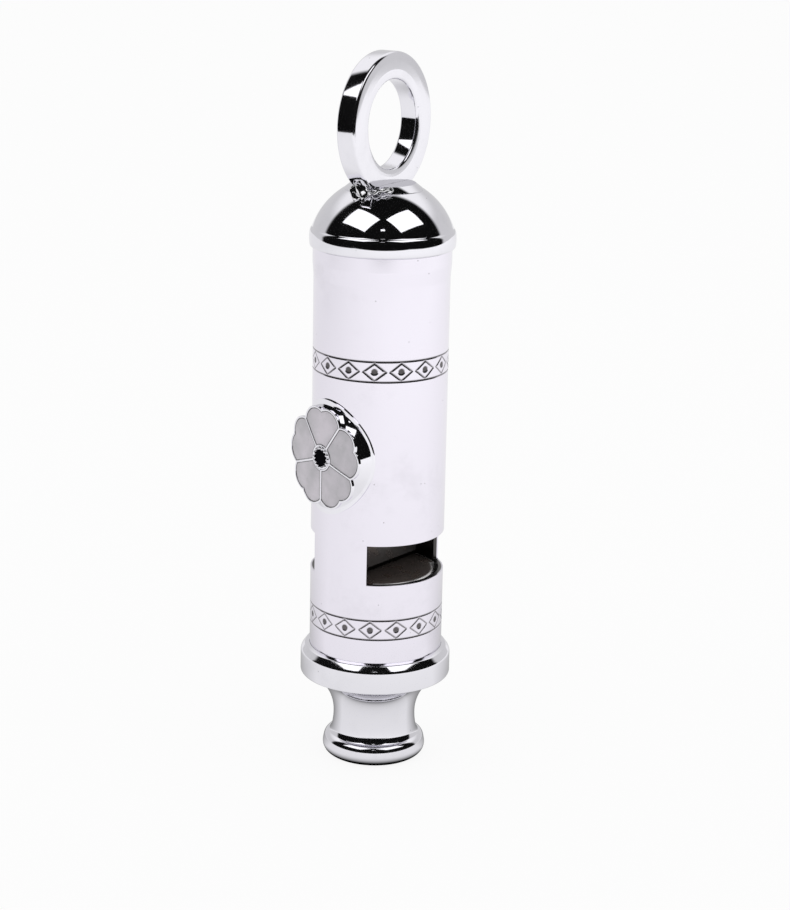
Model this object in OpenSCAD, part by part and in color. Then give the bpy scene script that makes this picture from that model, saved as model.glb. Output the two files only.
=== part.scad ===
// Two-note round whistle of plated brass: a turned mouthpiece, a tube with two windows, a grooved
// windway block, a plate that divides the tube into two chambers of unequal length, a domed cap
// with a fixed ring, and an enamelled flower badge on a saddle.
// Origin at the centre of the mouth, +Z up to the ring, +X through the middle of one window.

/* [Barrel] */
// Outer diameter of the barrel tube
barrel_d = 15; // [13:0.1:18]
// Wall of the barrel tube
barrel_wall = 0.6; // [0.4:0.05:0.9]
// How far the tube's upper end is swaged outwards, per side
swage = 0.12; // [0:0.02:0.25]
// Length of the swaged end
swage_h = 3.2; // [2:0.1:5]

/* [Windows] */
// Height of each window
window_h = 4.5; // [4.2:0.1:6]
// Angle that each window takes round the tube
window_angle = 120; // [90:1:130]
// Distance from the flange's top to the windows' lower edge
window_rise = 9.1; // [8:0.1:12]

/* [Mouthpiece] */
// Bore of the mouthpiece
bore_d = 6.8; // [5.5:0.1:7.4]
// Largest diameter of the lip
lip_d = 11.7; // [11:0.1:13.5]
// Height of the lip
lip_h = 2.55; // [2.3:0.05:4]
// Rounding of the lip's lower edge
lip_edge_r = 1.1; // [0.5:0.05:1.2]
// Rounding of the lip's upper edge
lip_top_r = 0.95; // [0.5:0.05:1.2]
// How far the lip's side leans in towards its top, in degrees
lip_lean = 10; // [0:1:20]
// Diameter of the neck at its waist
neck_d = 9.3; // [9:0.1:10.5]
// Length of the neck, from the lip to the flange
neck_h = 7.35; // [6:0.05:10]
// Height of the neck's flare down to the lip
neck_flare_h = 2.2; // [1.5:0.1:3]
// Radius of the neck's flare down to the lip
neck_flare_r = 6; // [4:0.1:10]
// Height of the hollow that sweeps from the neck out to the flange
neck_sweep_h = 5.05; // [3:0.05:5.4]
// Radius of the hollow that sweeps from the neck out to the flange
neck_sweep_r = 5.65; // [5.5:0.05:8]
// How far the flange stands out past the barrel, per side
flange_over = 1; // [0.7:0.05:2]
// Height of the flange
flange_h = 3.4; // [3:0.1:5]
// Height from the top of the flange's straight side up to its top
flange_shoulder_h = 1.05; // [0.8:0.05:1.3]
// Rounding between the flange's side and the bevel above it
flange_side_r = 0.7; // [0.3:0.05:0.9]
// Slope of the flange's bevel, in degrees
flange_bevel = 55; // [45:1:65]
// Rounding between the flange's bevel and the land above it
flange_land_r = 0.27; // [0.1:0.01:0.4]
// Slope of the narrow land round the barrel, in degrees
flange_land = 15; // [5:1:20]
// Rounding of the flange's lower edge
flange_low_r = 0.25; // [0.1:0.05:0.5]
// Floor of the flange under the barrel's end
flange_floor = 1.3; // [0.8:0.1:1.8]
// Distance from the flange's underside down to the top of the straight bore
bore_stop = 0.6; // [0:0.1:2]
// Distance from the flange's underside up to the air space in the spigot
plenum_rise = 1.9; // [1.4:0.1:2.6]
// Wall of the spigot
spigot_wall = 0.77; // [0.5:0.01:1]

/* [Windway block] */
// Depth of the two curved windways between block and tube
windway_depth = 0.55; // [0.3:0.05:0.8]
// How far each windway stops short of the window's sides, in degrees
windway_margin = 5; // [2:1:12]
// Distance from the windows' lower edge down to the block's top
block_drop = 0.2; // [0:0.05:0.6]
// Height of the block, which stands on the mouthpiece's spigot
block_h = 5.7; // [4.5:0.1:6.5]
// Height of the bevel that leads the air into each windway
lead_h = 1.7; // [1:0.1:2.5]
// How far the bevel cuts into the block
lead_in = 1.1; // [0.6:0.1:2]

/* [Chambers] */
// Thickness of the plate between the chambers
divider_t = 0.5; // [0.3:0.05:0.8]
// Depth of the slot that holds the plate in the block
divider_slot = 1; // [0.6:0.1:2]
// Thickness of the two stops
stop_t = 0.8; // [0.5:0.1:1.2]
// Length of the chamber with the lower note, from the windows' lower edge
long_chamber = 31.6; // [29:0.1:40]
// How much shorter the chamber with the higher note is
chamber_step = 4.2; // [3:0.1:7]
// Distance from the longer chamber's stop up to the cap's spigot
stop_room = 0.7; // [0.2:0.1:3]

/* [Cap] */
// How far the rim stands out past the barrel, per side
rim_over = 0.53; // [0.45:0.01:0.8]
// Height of the rim
rim_h = 2.3; // [1.8:0.1:2.8]
// Rounding of the rim's upper edge
rim_top_r = 0.75; // [0.4:0.05:0.8]
// Rounding of the rim's lower edge
rim_low_r = 0.3; // [0.1:0.05:0.4]
// How much larger the dome's sphere is than the barrel's radius
dome_over = 0.7; // [0.5:0.05:0.75]
// How far the centre of the dome's sphere lies below the rim
dome_drop = 0.6; // [0:0.1:1.5]
// Wall of the cap
cap_wall = 0.8; // [0.5:0.05:1.2]
// Radius of the flat seat for the collar on top of the dome
seat_r = 4.4; // [4:0.1:5]
// Length of the cap's spigot inside the barrel
cap_spigot_h = 3.4; // [2:0.1:5]
// Wall of the cap's spigot
cap_spigot_wall = 0.7; // [0.4:0.05:1]

/* [Ring] */
// How much larger the ring's outer diameter is than the barrel's
ring_over = 0.5; // [0:0.1:2]
// Width of the ring's band, from its outside to its hole
ring_band = 3.15; // [2.6:0.05:3.6]
// Thickness of the ring along its axis
ring_t = 2.3; // [2:0.1:2.8]
// Rounding of the ring's outer edges
ring_edge_r = 0.3; // [0.2:0.05:0.6]
// Rounding of the edges of the ring's hole
ring_hole_edge_r = 0.9; // [0.4:0.05:0.95]
// Turn of the ring about the whistle's axis
ring_turn = 6; // [-30:1:30]
// How far the ring's circle dips below the collar's top
ring_dip = 1.42; // [1:0.02:1.8]
// Height of the collar under the ring
collar_h = 0.7; // [0.6:0.05:1.5]
// Radius of the collar's top
collar_top_r = 3.5; // [3:0.1:4]
// Depth of the slot across the collar
collar_slot = 0.6; // [0.3:0.05:0.6]
// Radius of the solder lumps at the two ends of the ring's foot
lump_r = 0.9; // [0.6:0.05:1.1]
// Radius of the solder that ran round the collar's foot
run_r = 0.3; // [0.2:0.02:0.4]
// Angle that the solder ran round the collar
run_angle = 70; // [30:1:80]
// Diameter of the ring's peg
peg_d = 2.4; // [1.6:0.1:3]
// Diameter of the peg's spread end inside the cap
peg_head_d = 4.2; // [3.6:0.1:6]
// Thickness of the peg's spread end
peg_head_h = 0.8; // [0.5:0.1:1.5]

/* [Badge] */
// Distance from the windows' upper edge up to the foot of the badge
badge_rise = 3.05; // [1:0.05:6]
// Turn of the badge about the whistle's axis
badge_turn = -10; // [-20:1:20]
// Half the width of the saddle's foot, measured straight across
foot_half_w = 5.4; // [5.2:0.1:6]
// Half the height of the saddle's foot
foot_half_h = 6.45; // [5.9:0.05:8]
// Thickness of the saddle's foot at its edge
foot_t = 0.2; // [0.1:0.05:0.25]
// Radius of the saddle's top, under the flower
saddle_top_r = 5; // [4.4:0.1:5.1]
// Thickness of the saddle's top over the barrel
saddle_h = 0.3; // [0.25:0.05:1]
// Thickness of the flower plate
flower_t = 0.65; // [0.5:0.05:1.2]
// Width of the metal borders round the enamel
border = 0.22; // [0.15:0.01:0.3]
// Number of petals
petals = 5; // [5:1:7]
// Distance of each lobe's centre from the flower's centre, along the petal
lobe_reach = 3.7; // [3.4:0.05:4]
// Distance of each lobe's centre from the middle of its petal
lobe_side = 0.95; // [0.5:0.05:1.1]
// Radius of the two lobes that round off each petal
lobe_r = 1.75; // [1.5:0.05:1.9]
// Depth of the enamel
enamel_t = 0.3; // [0.2:0.05:0.4]
// How far the enamel lies below the borders
enamel_drop = 0.06; // [0:0.02:0.15]
// Radius of the dark centre
centre_r = 0.8; // [0.5:0.05:0.9]
// Radius of the beads round the centre
bead_r = 0.17; // [0.1:0.01:0.2]
// Number of beads
beads = 14; // [8:1:16]

/* [Fits] */
// Gap left for solder or glue between two fitted faces
fit = 0.02; // [0.01:0.01:0.04]

/* [Hidden] */
$fn = 96;
// How far a cutting shape runs past what it cuts
past = 1;
// How deep the ends of a slanted side lie inside the rounds that it joins
tuck = 0.002;

barrel_r = barrel_d / 2;
inner_r = barrel_r - barrel_wall;
flange_z = lip_h + neck_h;
flange_top_z = flange_z + flange_h;
flange_r = barrel_r + flange_over;
barrel_z = flange_z + flange_floor;
window_z = flange_top_z + window_rise;
long_stop_z = window_z + long_chamber;
short_stop_z = long_stop_z - chamber_step;
barrel_top_z = long_stop_z + stop_t + stop_room + cap_spigot_h;

bore_r = bore_d / 2;
neck_r = neck_d / 2;
lip_r = lip_d / 2;
// Centres of the two rounds of the lip; their common tangent is its leaning side
lip_edge_x = lip_r - lip_edge_r;
lip_top_x = lip_edge_x + (lip_edge_r - lip_top_r
    - (lip_h - lip_top_r - lip_edge_r) * sin(lip_lean)) / cos(lip_lean);
// The neck is straight between these two heights, and swept outwards above and below them
neck_low_z = lip_h + neck_flare_h;
neck_high_z = flange_z - neck_sweep_h;
block_top_z = window_z - block_drop;
spigot_r = inner_r - fit;
spigot_z = block_top_z - block_h;
// The air space inside the spigot, and the slope that opens the bore out to it
plenum_r = spigot_r - spigot_wall;
plenum_z = flange_z + plenum_rise;
bore_top_z = flange_z - bore_stop;

divider_z = block_top_z - divider_slot;
divider_top_z = barrel_top_z - cap_spigot_h - fit;
divider_half_w = sqrt(pow(inner_r - fit, 2) - pow(divider_t / 2, 2));

rim_r = barrel_r + rim_over;
dome_r = barrel_r + dome_over;
dome_z = barrel_top_z - dome_drop;
seat_z = dome_z + sqrt(pow(dome_r, 2) - pow(seat_r, 2));
ceiling_z = seat_z - cap_wall;
collar_top_z = seat_z + collar_h;
slot_floor_z = collar_top_z - collar_slot;
ring_r = barrel_r + ring_over / 2;
ring_hole_r = ring_r - ring_band;
ring_z = collar_top_z - ring_dip + ring_r;
peg_r = peg_d / 2;

badge_z = window_z + window_h + badge_rise + foot_half_h;
saddle_seat_r = barrel_r + fit;
flower_z = barrel_r + saddle_h;
flower_top_z = flower_z + flower_t;
petal_step = 360 / petals;
// Radius of the bead circle, and where the petals' inner ends start
bead_circle_r = centre_r + border / 2 + bead_r;
petal_start_r = bead_circle_r + bead_r + border / 2;
// Steps along and round the saddle's hollow side
saddle_rows = 6;
saddle_columns = 60;

// A revolved ring sector: the children are the profile, centred on the +X side
module sector(angle) {
    rotate([0, 0, -angle / 2])
        rotate_extrude(angle = angle)
            children();
}

// Places its children on the windows' two sides
module each_window_side() {
    for (turn = [0, 180])
        rotate([0, 0, turn])
            children();
}

// Point on a circle in the direction of an angle
function on_circle(centre, radius, angle) =
    centre + radius * [cos(angle), sin(angle)];

// Where two lines cross, each given by the direction of its normal and its distance from the origin
function lines_cross(angle_a, far_a, angle_b, far_b) =
    [far_a * sin(angle_b) - far_b * sin(angle_a), far_b * cos(angle_a) - far_a * cos(angle_b)]
        / sin(angle_b - angle_a);

// Profile of the lip: a round below, a smaller one above and a side that leans in between them
module lip_profile() {
    low = [lip_edge_x, lip_edge_r];
    high = [lip_top_x, lip_h - lip_top_r];
    polygon([
        [0, 0],
        [low.x, 0],
        on_circle(low, lip_edge_r - tuck, lip_lean),
        on_circle(high, lip_top_r - tuck, lip_lean),
        [high.x, lip_h],
        [0, lip_h],
    ]);
    translate(low)
        circle(r = lip_edge_r);
    translate(high)
        circle(r = lip_top_r);
}

// Profile of the neck: a waist that sweeps outwards to the lip and to the flange
module neck_profile() {
    difference() {
        translate([0, lip_h - lip_top_r])
            square([flange_r - flange_low_r, neck_h + lip_top_r]);
        translate([neck_r, neck_low_z])
            square([flange_r, neck_high_z - neck_low_z]);
        intersection() {
            translate([neck_r + neck_flare_r, neck_low_z])
                circle(r = neck_flare_r);
            square([flange_r + past, neck_low_z]);
        }
        intersection() {
            translate([neck_r + neck_sweep_r, neck_high_z])
                circle(r = neck_sweep_r);
            translate([0, neck_high_z])
                square([flange_r + past, neck_h]);
        }
    }
}

// Profile of the flange: a straight side, a steep bevel and a narrow land, rounded where they meet
module flange_profile() {
    side_x = flange_r - flange_side_r;
    side_top_z = flange_top_z - flange_shoulder_h;
    bevel_normal = 90 - flange_bevel;
    land_normal = 90 - flange_land;
    // Centre of the round between bevel and land, which lies its radius inside both of them
    land_round = lines_cross(
        bevel_normal,
        side_x * cos(bevel_normal) + side_top_z * sin(bevel_normal) + flange_side_r - flange_land_r,
        land_normal,
        barrel_r * cos(land_normal) + flange_top_z * sin(land_normal) - flange_land_r);
    translate([0, flange_z])
        square([flange_r - flange_low_r, flange_low_r]);
    polygon([
        [0, flange_z + flange_low_r],
        [flange_r, flange_z + flange_low_r],
        [flange_r, side_top_z],
        on_circle([side_x, side_top_z], flange_side_r - tuck, bevel_normal),
        on_circle(land_round, flange_land_r - tuck, bevel_normal),
        on_circle(land_round, flange_land_r - tuck, land_normal),
        [barrel_r, flange_top_z],
        [0, flange_top_z],
    ]);
    translate([side_x, side_top_z])
        circle(r = flange_side_r);
    translate(land_round)
        circle(r = flange_land_r);
    translate([flange_r - flange_low_r, flange_z + flange_low_r])
        circle(r = flange_low_r);
}

// Turned in one piece: lip, neck, flange and the spigot that the barrel slides over
module mouthpiece() {
    color("gainsboro")
        difference() {
            rotate_extrude() {
                intersection() {
                    union() {
                        lip_profile();
                        neck_profile();
                        flange_profile();
                    }
                    square([flange_r, flange_top_z]);
                }
                translate([0, barrel_z - flange_floor / 2])
                    square([spigot_r, spigot_z - barrel_z + flange_floor / 2]);
            }
            // Rebate for the barrel's lower end
            rotate_extrude()
                translate([spigot_r, barrel_z])
                    square([barrel_r + fit - spigot_r, flange_h + past]);
            // Bore, the slope above it and the air space in the spigot
            translate([0, 0, -past])
                cylinder(r = bore_r, h = bore_top_z + 2 * past);
            translate([0, 0, bore_top_z])
                cylinder(r1 = bore_r, r2 = plenum_r, h = plenum_z - bore_top_z);
            translate([0, 0, plenum_z])
                cylinder(r = plenum_r, h = spigot_z - plenum_z + past);
        }
}

// Drawn tube with its upper end swaged out, and two windows cut square across
module barrel() {
    color("white")
        difference() {
            rotate_extrude()
                polygon([
                    [0, barrel_z],
                    [barrel_r, barrel_z],
                    [barrel_r, barrel_top_z - swage_h],
                    [barrel_r + swage, barrel_top_z - swage_h / 2],
                    [barrel_r + swage, barrel_top_z],
                    [0, barrel_top_z],
                ]);
            translate([0, 0, barrel_z - past])
                cylinder(r = inner_r, h = barrel_top_z - barrel_z + 2 * past);
            each_window_side()
                sector(window_angle)
                    translate([inner_r / 2, window_z])
                        square([barrel_r, window_h]);
        }
}

// Plug that fills the tube below the windows, but for two shallow curved windways
module windway_block() {
    windway_r = inner_r - windway_depth;
    color("dimgray")
        difference() {
            translate([0, 0, spigot_z])
                cylinder(r = inner_r - fit, h = block_top_z - spigot_z);
            each_window_side()
                sector(window_angle - 2 * windway_margin) {
                    translate([windway_r, spigot_z - past])
                        square([barrel_r, block_top_z - spigot_z + 2 * past]);
                    polygon([
                        [windway_r - lead_in, spigot_z - past],
                        [barrel_r, spigot_z - past],
                        [barrel_r, spigot_z + lead_h],
                        [windway_r, spigot_z + lead_h],
                        [windway_r - lead_in, spigot_z],
                    ]);
                }
            // Slot for the divider plate
            translate([-divider_t / 2 - fit, -barrel_r, divider_z])
                cube([divider_t + 2 * fit, barrel_d, divider_slot + past]);
        }
}

// Flat plate across the tube, from the slot in the block up to the cap's spigot
module divider_plate() {
    color("darkgray")
        translate([-divider_t / 2, -divider_half_w, divider_z])
            cube([divider_t, 2 * divider_half_w, divider_top_z - divider_z]);
}

// Half-round stop that closes the chamber on the +X side
module chamber_stop(stop_z) {
    translate([0, 0, stop_z])
        linear_extrude(stop_t)
            intersection() {
                circle(r = inner_r - fit);
                translate([divider_t / 2 + fit, -barrel_r])
                    square([barrel_r, barrel_d]);
            }
}

module short_chamber_stop() {
    color("darkgray")
        chamber_stop(short_stop_z);
}

module long_chamber_stop() {
    color("darkgray")
        rotate([0, 0, 180])
            chamber_stop(long_stop_z);
}

// The dome's outside, cut flat for the collar; grow makes it larger all over
module dome_solid(grow = 0) {
    start_z = barrel_top_z + rim_h - rim_top_r;
    intersection() {
        translate([0, 0, dome_z])
            sphere(r = dome_r + grow);
        translate([0, 0, start_z])
            cylinder(r = dome_r + grow, h = seat_z - start_z + grow);
    }
}

// Profile of the cap's rim: a flat band with a large round above and a small one below
module rim_profile() {
    translate([0, barrel_top_z]) {
        square([rim_r - rim_low_r, rim_h - rim_top_r]);
        translate([0, rim_low_r])
            square([rim_r, rim_h - rim_top_r - rim_low_r]);
        square([rim_r - rim_top_r, rim_h]);
        translate([rim_r - rim_top_r, rim_h - rim_top_r])
            circle(r = rim_top_r);
        translate([rim_r - rim_low_r, rim_low_r])
            circle(r = rim_low_r);
    }
}

// Pressed cap: rounded rim, dome with a flat seat, a spigot in the barrel, hollow inside
module end_cap() {
    color("silver")
        difference() {
            union() {
                dome_solid();
                rotate_extrude()
                    rim_profile();
                translate([0, 0, barrel_top_z - cap_spigot_h])
                    cylinder(r = inner_r - fit, h = cap_spigot_h + rim_h / 2);
            }
            translate([0, 0, barrel_top_z - cap_spigot_h - past])
                cylinder(r = inner_r - fit - cap_spigot_wall, h = cap_spigot_h + past + rim_h / 2);
            intersection() {
                translate([0, 0, dome_z])
                    sphere(r = dome_r - cap_wall);
                translate([0, 0, barrel_top_z + rim_h / 2])
                    cylinder(r = inner_r - fit - cap_spigot_wall, h = ceiling_z - barrel_top_z - rim_h / 2);
            }
            translate([0, 0, ceiling_z - past])
                cylinder(r = peg_r + fit, h = cap_wall + 2 * past);
        }
}

// The collar's outside without its slot and hole; grow makes it larger all over
module collar_solid(grow = 0) {
    translate([0, 0, seat_z])
        cylinder(r1 = seat_r + grow, r2 = collar_top_r + grow, h = collar_h + grow);
}

// Low cone that the ring stands in, with a slot across it for the ring's foot
module ring_collar() {
    color("silver")
        difference() {
            collar_solid();
            rotate([0, 0, ring_turn])
                translate([-ring_t / 2 - fit, -seat_r - past, slot_floor_z])
                    cube([ring_t + 2 * fit, 2 * (seat_r + past), collar_slot + past]);
            translate([0, 0, seat_z - past])
                cylinder(r = peg_r + fit, h = collar_h + 2 * past);
        }
}

// Section of the ring: a rectangle whose edges at the hole are rounded more than the outer ones
module ring_profile() {
    half_t = ring_t / 2;
    hole_round_x = ring_hole_r + ring_hole_edge_r;
    outer_round_x = ring_r - ring_edge_r;
    translate([hole_round_x, -half_t])
        square([outer_round_x - hole_round_x, ring_t]);
    translate([ring_hole_r, ring_hole_edge_r - half_t])
        square([ring_hole_edge_r, ring_t - 2 * ring_hole_edge_r]);
    translate([outer_round_x, ring_edge_r - half_t])
        square([ring_edge_r, ring_t - 2 * ring_edge_r]);
    for (side = [-1, 1]) {
        translate([hole_round_x, side * (half_t - ring_hole_edge_r)])
            circle(r = ring_hole_edge_r);
        translate([outer_round_x, side * (half_t - ring_edge_r)])
            circle(r = ring_edge_r);
    }
}

// The ring standing on edge, cut flat at the slot's floor
module standing_ring() {
    rotate([0, 0, ring_turn])
        intersection() {
            translate([0, 0, ring_z])
                rotate([0, 90, 0])
                    rotate_extrude()
                        ring_profile();
            translate([-2 * ring_r, -2 * ring_r, slot_floor_z])
                cube(4 * ring_r);
        }
}

// Ring in one piece with the peg that goes through collar and cap and is spread inside
module bow_ring() {
    color("gainsboro") {
        standing_ring();
        translate([0, 0, ceiling_z - peg_head_h])
            cylinder(r = peg_r, h = slot_floor_z + ring_edge_r - ceiling_z + peg_head_h);
        translate([0, 0, ceiling_z - peg_head_h])
            cylinder(d = peg_head_d, h = peg_head_h);
    }
}

// Solder that ran out at the two ends of the ring's foot and round the collar on one side
module ring_solder() {
    // The run keeps just outside the collar's foot, and ends in a drop a little thicker than itself
    run_circle_r = seat_r + run_r / 3;
    drop_r = 1.3 * run_r;
    color("dimgray")
        difference() {
            rotate([0, 0, ring_turn]) {
                rotate([0, 0, -90])
                    rotate_extrude(angle = run_angle)
                        translate([run_circle_r, seat_z])
                            circle(r = run_r);
                rotate([0, 0, run_angle - 90])
                    translate([run_circle_r, 0, seat_z])
                        sphere(r = drop_r);
                for (side = [-1, 1])
                    translate([0, side * run_circle_r, seat_z - lump_r / 2])
                        sphere(r = lump_r);
            }
            dome_solid(fit);
            collar_solid(fit);
            // Room for the ring's foot
            rotate([0, 0, ring_turn])
                intersection() {
                    translate([-ring_t / 2 - fit, 0, ring_z])
                        rotate([0, 90, 0])
                            cylinder(r = ring_r + fit, h = ring_t + 2 * fit);
                    translate([-2 * ring_r, -2 * ring_r, slot_floor_z - fit])
                        cube(4 * ring_r);
                }
        }
}

// Badge frame: x across, y up, z straight out from the barrel's axis
module on_badge() {
    translate([0, 0, badge_z])
        rotate([0, 0, badge_turn])
            rotate([90, 0, 0])
                children();
}

// Point on the saddle's side: from the round top (t = 0) in a hollow curve to the foot's edge on
// the barrel (t = 1), as a quadratic curve whose middle point lies straight below the top's edge
function saddle_point(t, angle) =
    let (
        top = [saddle_top_r * cos(angle), saddle_top_r * sin(angle), flower_z],
        foot_x = foot_half_w * cos(angle),
        foot_z = sqrt(pow(saddle_seat_r, 2) - pow(foot_x, 2)) + foot_t,
        foot = [foot_x, foot_half_h * sin(angle), foot_z],
        middle = [top.x, top.y, min(foot_z, flower_z)])
    pow(1 - t, 2) * top + 2 * t * (1 - t) * middle + pow(t, 2) * foot;

// Point straight below the foot's edge, level with the barrel's axis
function saddle_base_point(angle) =
    [foot_half_w * cos(angle), foot_half_h * sin(angle), 0];

// Saddle that carries the flower: its top is flat, its foot wraps the barrel
module badge_saddle() {
    rows = concat(
        [for (k = [0 : saddle_rows]) [for (i = [0 : saddle_columns - 1])
            saddle_point(k / saddle_rows, i * 360 / saddle_columns)]],
        [[for (i = [0 : saddle_columns - 1]) saddle_base_point(i * 360 / saddle_columns)]]);
    points = [for (row = rows) each row];
    last = len(rows) - 1;
    sides = [for (k = [0 : last - 1], i = [0 : saddle_columns - 1])
        let (j = (i + 1) % saddle_columns, a = k * saddle_columns, b = a + saddle_columns)
        each [[a + i, a + j, b + j], [a + i, b + j, b + i]]];
    top = [for (i = [saddle_columns - 1 : -1 : 0]) i];
    bottom = [for (i = [0 : saddle_columns - 1]) last * saddle_columns + i];
    color("silver")
        difference() {
            on_badge()
                polyhedron(points, concat([top], sides, [bottom]));
            translate([0, 0, badge_z - foot_half_h - past])
                cylinder(r = saddle_seat_r, h = 2 * (foot_half_h + past));
        }
}

// Outline of one petal, along +X: two lobes at the tip, sides on the lines between petals.
// edge moves the rounded tip inwards, gap moves the sides and the inner end inwards.
module petal_outline(edge, gap) {
    half = petal_step / 2;
    reach = lobe_reach + lobe_r;
    start = gap / sin(half);
    difference() {
        intersection() {
            union() {
                translate([0, -reach])
                    square([lobe_reach, 2 * reach]);
                for (side = [-1, 1])
                    translate([lobe_reach, side * lobe_side])
                        circle(r = lobe_r - edge);
            }
            polygon([
                [start, 0],
                [start + reach, -reach * tan(half)],
                [start + reach, reach * tan(half)],
            ]);
            translate([0, -lobe_side - lobe_r + edge])
                square([2 * reach, 2 * (lobe_side + lobe_r - edge)]);
        }
        circle(r = petal_start_r + gap);
    }
}

// Places its children along petal number i, the first petal pointing up
module on_petal(i) {
    rotate([0, 0, 90 + (i - 1) * petal_step])
        children();
}

// Metal flower with a sunk cell for each petal and for the centre, and a circle of beads
module badge_flower() {
    cell_z = flower_top_z - enamel_drop - enamel_t;
    color("gainsboro")
        on_badge()
            difference() {
                union() {
                    translate([0, 0, flower_z])
                        linear_extrude(flower_t) {
                            for (i = [1 : petals])
                                on_petal(i)
                                    petal_outline(-border, -border);
                            circle(r = petal_start_r + border);
                        }
                    for (i = [1 : beads])
                        rotate([0, 0, i * 360 / beads])
                            translate([bead_circle_r, 0, flower_top_z])
                                sphere(r = bead_r);
                }
                for (i = [1 : petals])
                    on_petal(i)
                        translate([0, 0, cell_z])
                            linear_extrude(flower_t)
                                petal_outline(0, border / 2);
                translate([0, 0, cell_z])
                    cylinder(r = centre_r, h = flower_t);
            }
}

// Enamel in one petal's cell
module petal_enamel(i) {
    color("darkgray")
        on_badge()
            on_petal(i)
                translate([0, 0, flower_top_z - enamel_drop - enamel_t])
                    linear_extrude(enamel_t)
                        petal_outline(fit, border / 2 + fit);
}

// Dark enamel in the middle
module centre_enamel() {
    color("black")
        on_badge()
            translate([0, 0, flower_top_z - enamel_drop - enamel_t])
                cylinder(r = centre_r - fit, h = enamel_t);
}

mouthpiece();
barrel();
windway_block();
divider_plate();
short_chamber_stop();
long_chamber_stop();
end_cap();
ring_collar();
bow_ring();
ring_solder();
badge_saddle();
badge_flower();
centre_enamel();
for (i = [1 : petals])
    petal_enamel(i);
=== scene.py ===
"""Looks of a two-note round whistle: the smooth surfaces of its turned, pressed and enamelled pieces,
their finishes, and the studio that they stand in."""

import math

import bmesh
import bpy
import numpy as np
from mathutils import Matrix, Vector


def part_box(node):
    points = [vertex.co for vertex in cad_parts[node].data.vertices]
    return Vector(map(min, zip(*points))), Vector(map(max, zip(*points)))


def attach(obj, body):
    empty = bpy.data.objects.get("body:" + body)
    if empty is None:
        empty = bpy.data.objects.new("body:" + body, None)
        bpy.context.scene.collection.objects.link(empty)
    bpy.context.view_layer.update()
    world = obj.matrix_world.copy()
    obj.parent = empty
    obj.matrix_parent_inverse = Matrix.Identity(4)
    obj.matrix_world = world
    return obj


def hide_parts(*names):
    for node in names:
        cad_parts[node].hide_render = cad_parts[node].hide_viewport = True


bl_info = {
    "name": "Round Whistle",
    "version": (1, 0, 0),
    "blender": (4, 5, 0),
    "location": "3D View > Sidebar > Whistle",
    "description": "Builds the pieces, the finishes and the studio of a two-note round whistle",
    "category": "Add Mesh",
}

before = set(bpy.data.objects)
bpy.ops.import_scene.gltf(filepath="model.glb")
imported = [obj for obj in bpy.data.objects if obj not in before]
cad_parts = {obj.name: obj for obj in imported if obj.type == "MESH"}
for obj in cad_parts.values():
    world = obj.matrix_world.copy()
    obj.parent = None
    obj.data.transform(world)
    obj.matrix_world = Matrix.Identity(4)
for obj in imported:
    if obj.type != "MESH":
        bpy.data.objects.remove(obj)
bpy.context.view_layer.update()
MM = 0.001


def cad(node, side):
    """Lowest (side 0) or highest (side 1) corner of a node of the frame, in metres."""
    return np.array(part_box(node)[side])


def length(name, description, value):
    """A size in metres, for the sidebar; value is its default."""
    return bpy.props.FloatProperty(
        name=name, description=description, default=float(value), unit="LENGTH", precision=5
    )


def turn(name, description, degrees):
    """An angle, for the sidebar; degrees is its default."""
    return bpy.props.FloatProperty(
        name=name, description=description, default=math.radians(degrees), subtype="ANGLE"
    )


def tint(name, description, colour):
    """A colour, for the sidebar."""
    return bpy.props.FloatVectorProperty(
        name=name, description=description, default=colour, size=3, min=0, max=1, subtype="COLOR"
    )


def share(name, description, value):
    """A share of a whole, for the sidebar."""
    return bpy.props.FloatProperty(name=name, description=description, default=value)


def count(name, description, number):
    """A number of like things, for the sidebar."""
    return bpy.props.IntProperty(name=name, description=description, default=number, min=3)


# Sizes and colours that a user would change


class WhistleTube(bpy.types.PropertyGroup):
    """Sizes of the tube and its windows"""

    low_z: length("Lower end", "Height of the tube's lower end", cad("barrel", 0)[2])
    high_z: length("Upper end", "Height of the tube's upper end", cad("barrel", 1)[2])
    end_r: length("Swaged radius", "Outer radius of the swaged upper end", cad("barrel", 1)[1])
    swage: length("Swage", "How far the upper end is swaged out", 0.12 * MM)
    swage_h: length("Swage height", "Length of the swaged end", 3.2 * MM)
    wall: length("Wall", "Wall of the tube", 0.6 * MM)
    window_low: length("Window's lower edge", "Height of the windows' lower edge", 22.4 * MM)
    window_high: length("Window's upper edge", "Height of the windows' upper edge", 26.9 * MM)
    window_turn: turn("Window's angle", "Angle that each window takes round the tube", 120)
    edge_r: length("Edge round", "Rounding of the cut edges", 0.05 * MM)
    band_high: length("Upper band", "Height of the upper engraved band's middle", 46.6 * MM)
    band_low: length("Lower band", "Height of the lower engraved band's middle", 17.2 * MM)
    band_h: length("Band height", "Height of an engraved band", 2.3 * MM)
    band_cut: length("Engraving depth", "Depth of the engraved lines", 0.05 * MM)


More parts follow.
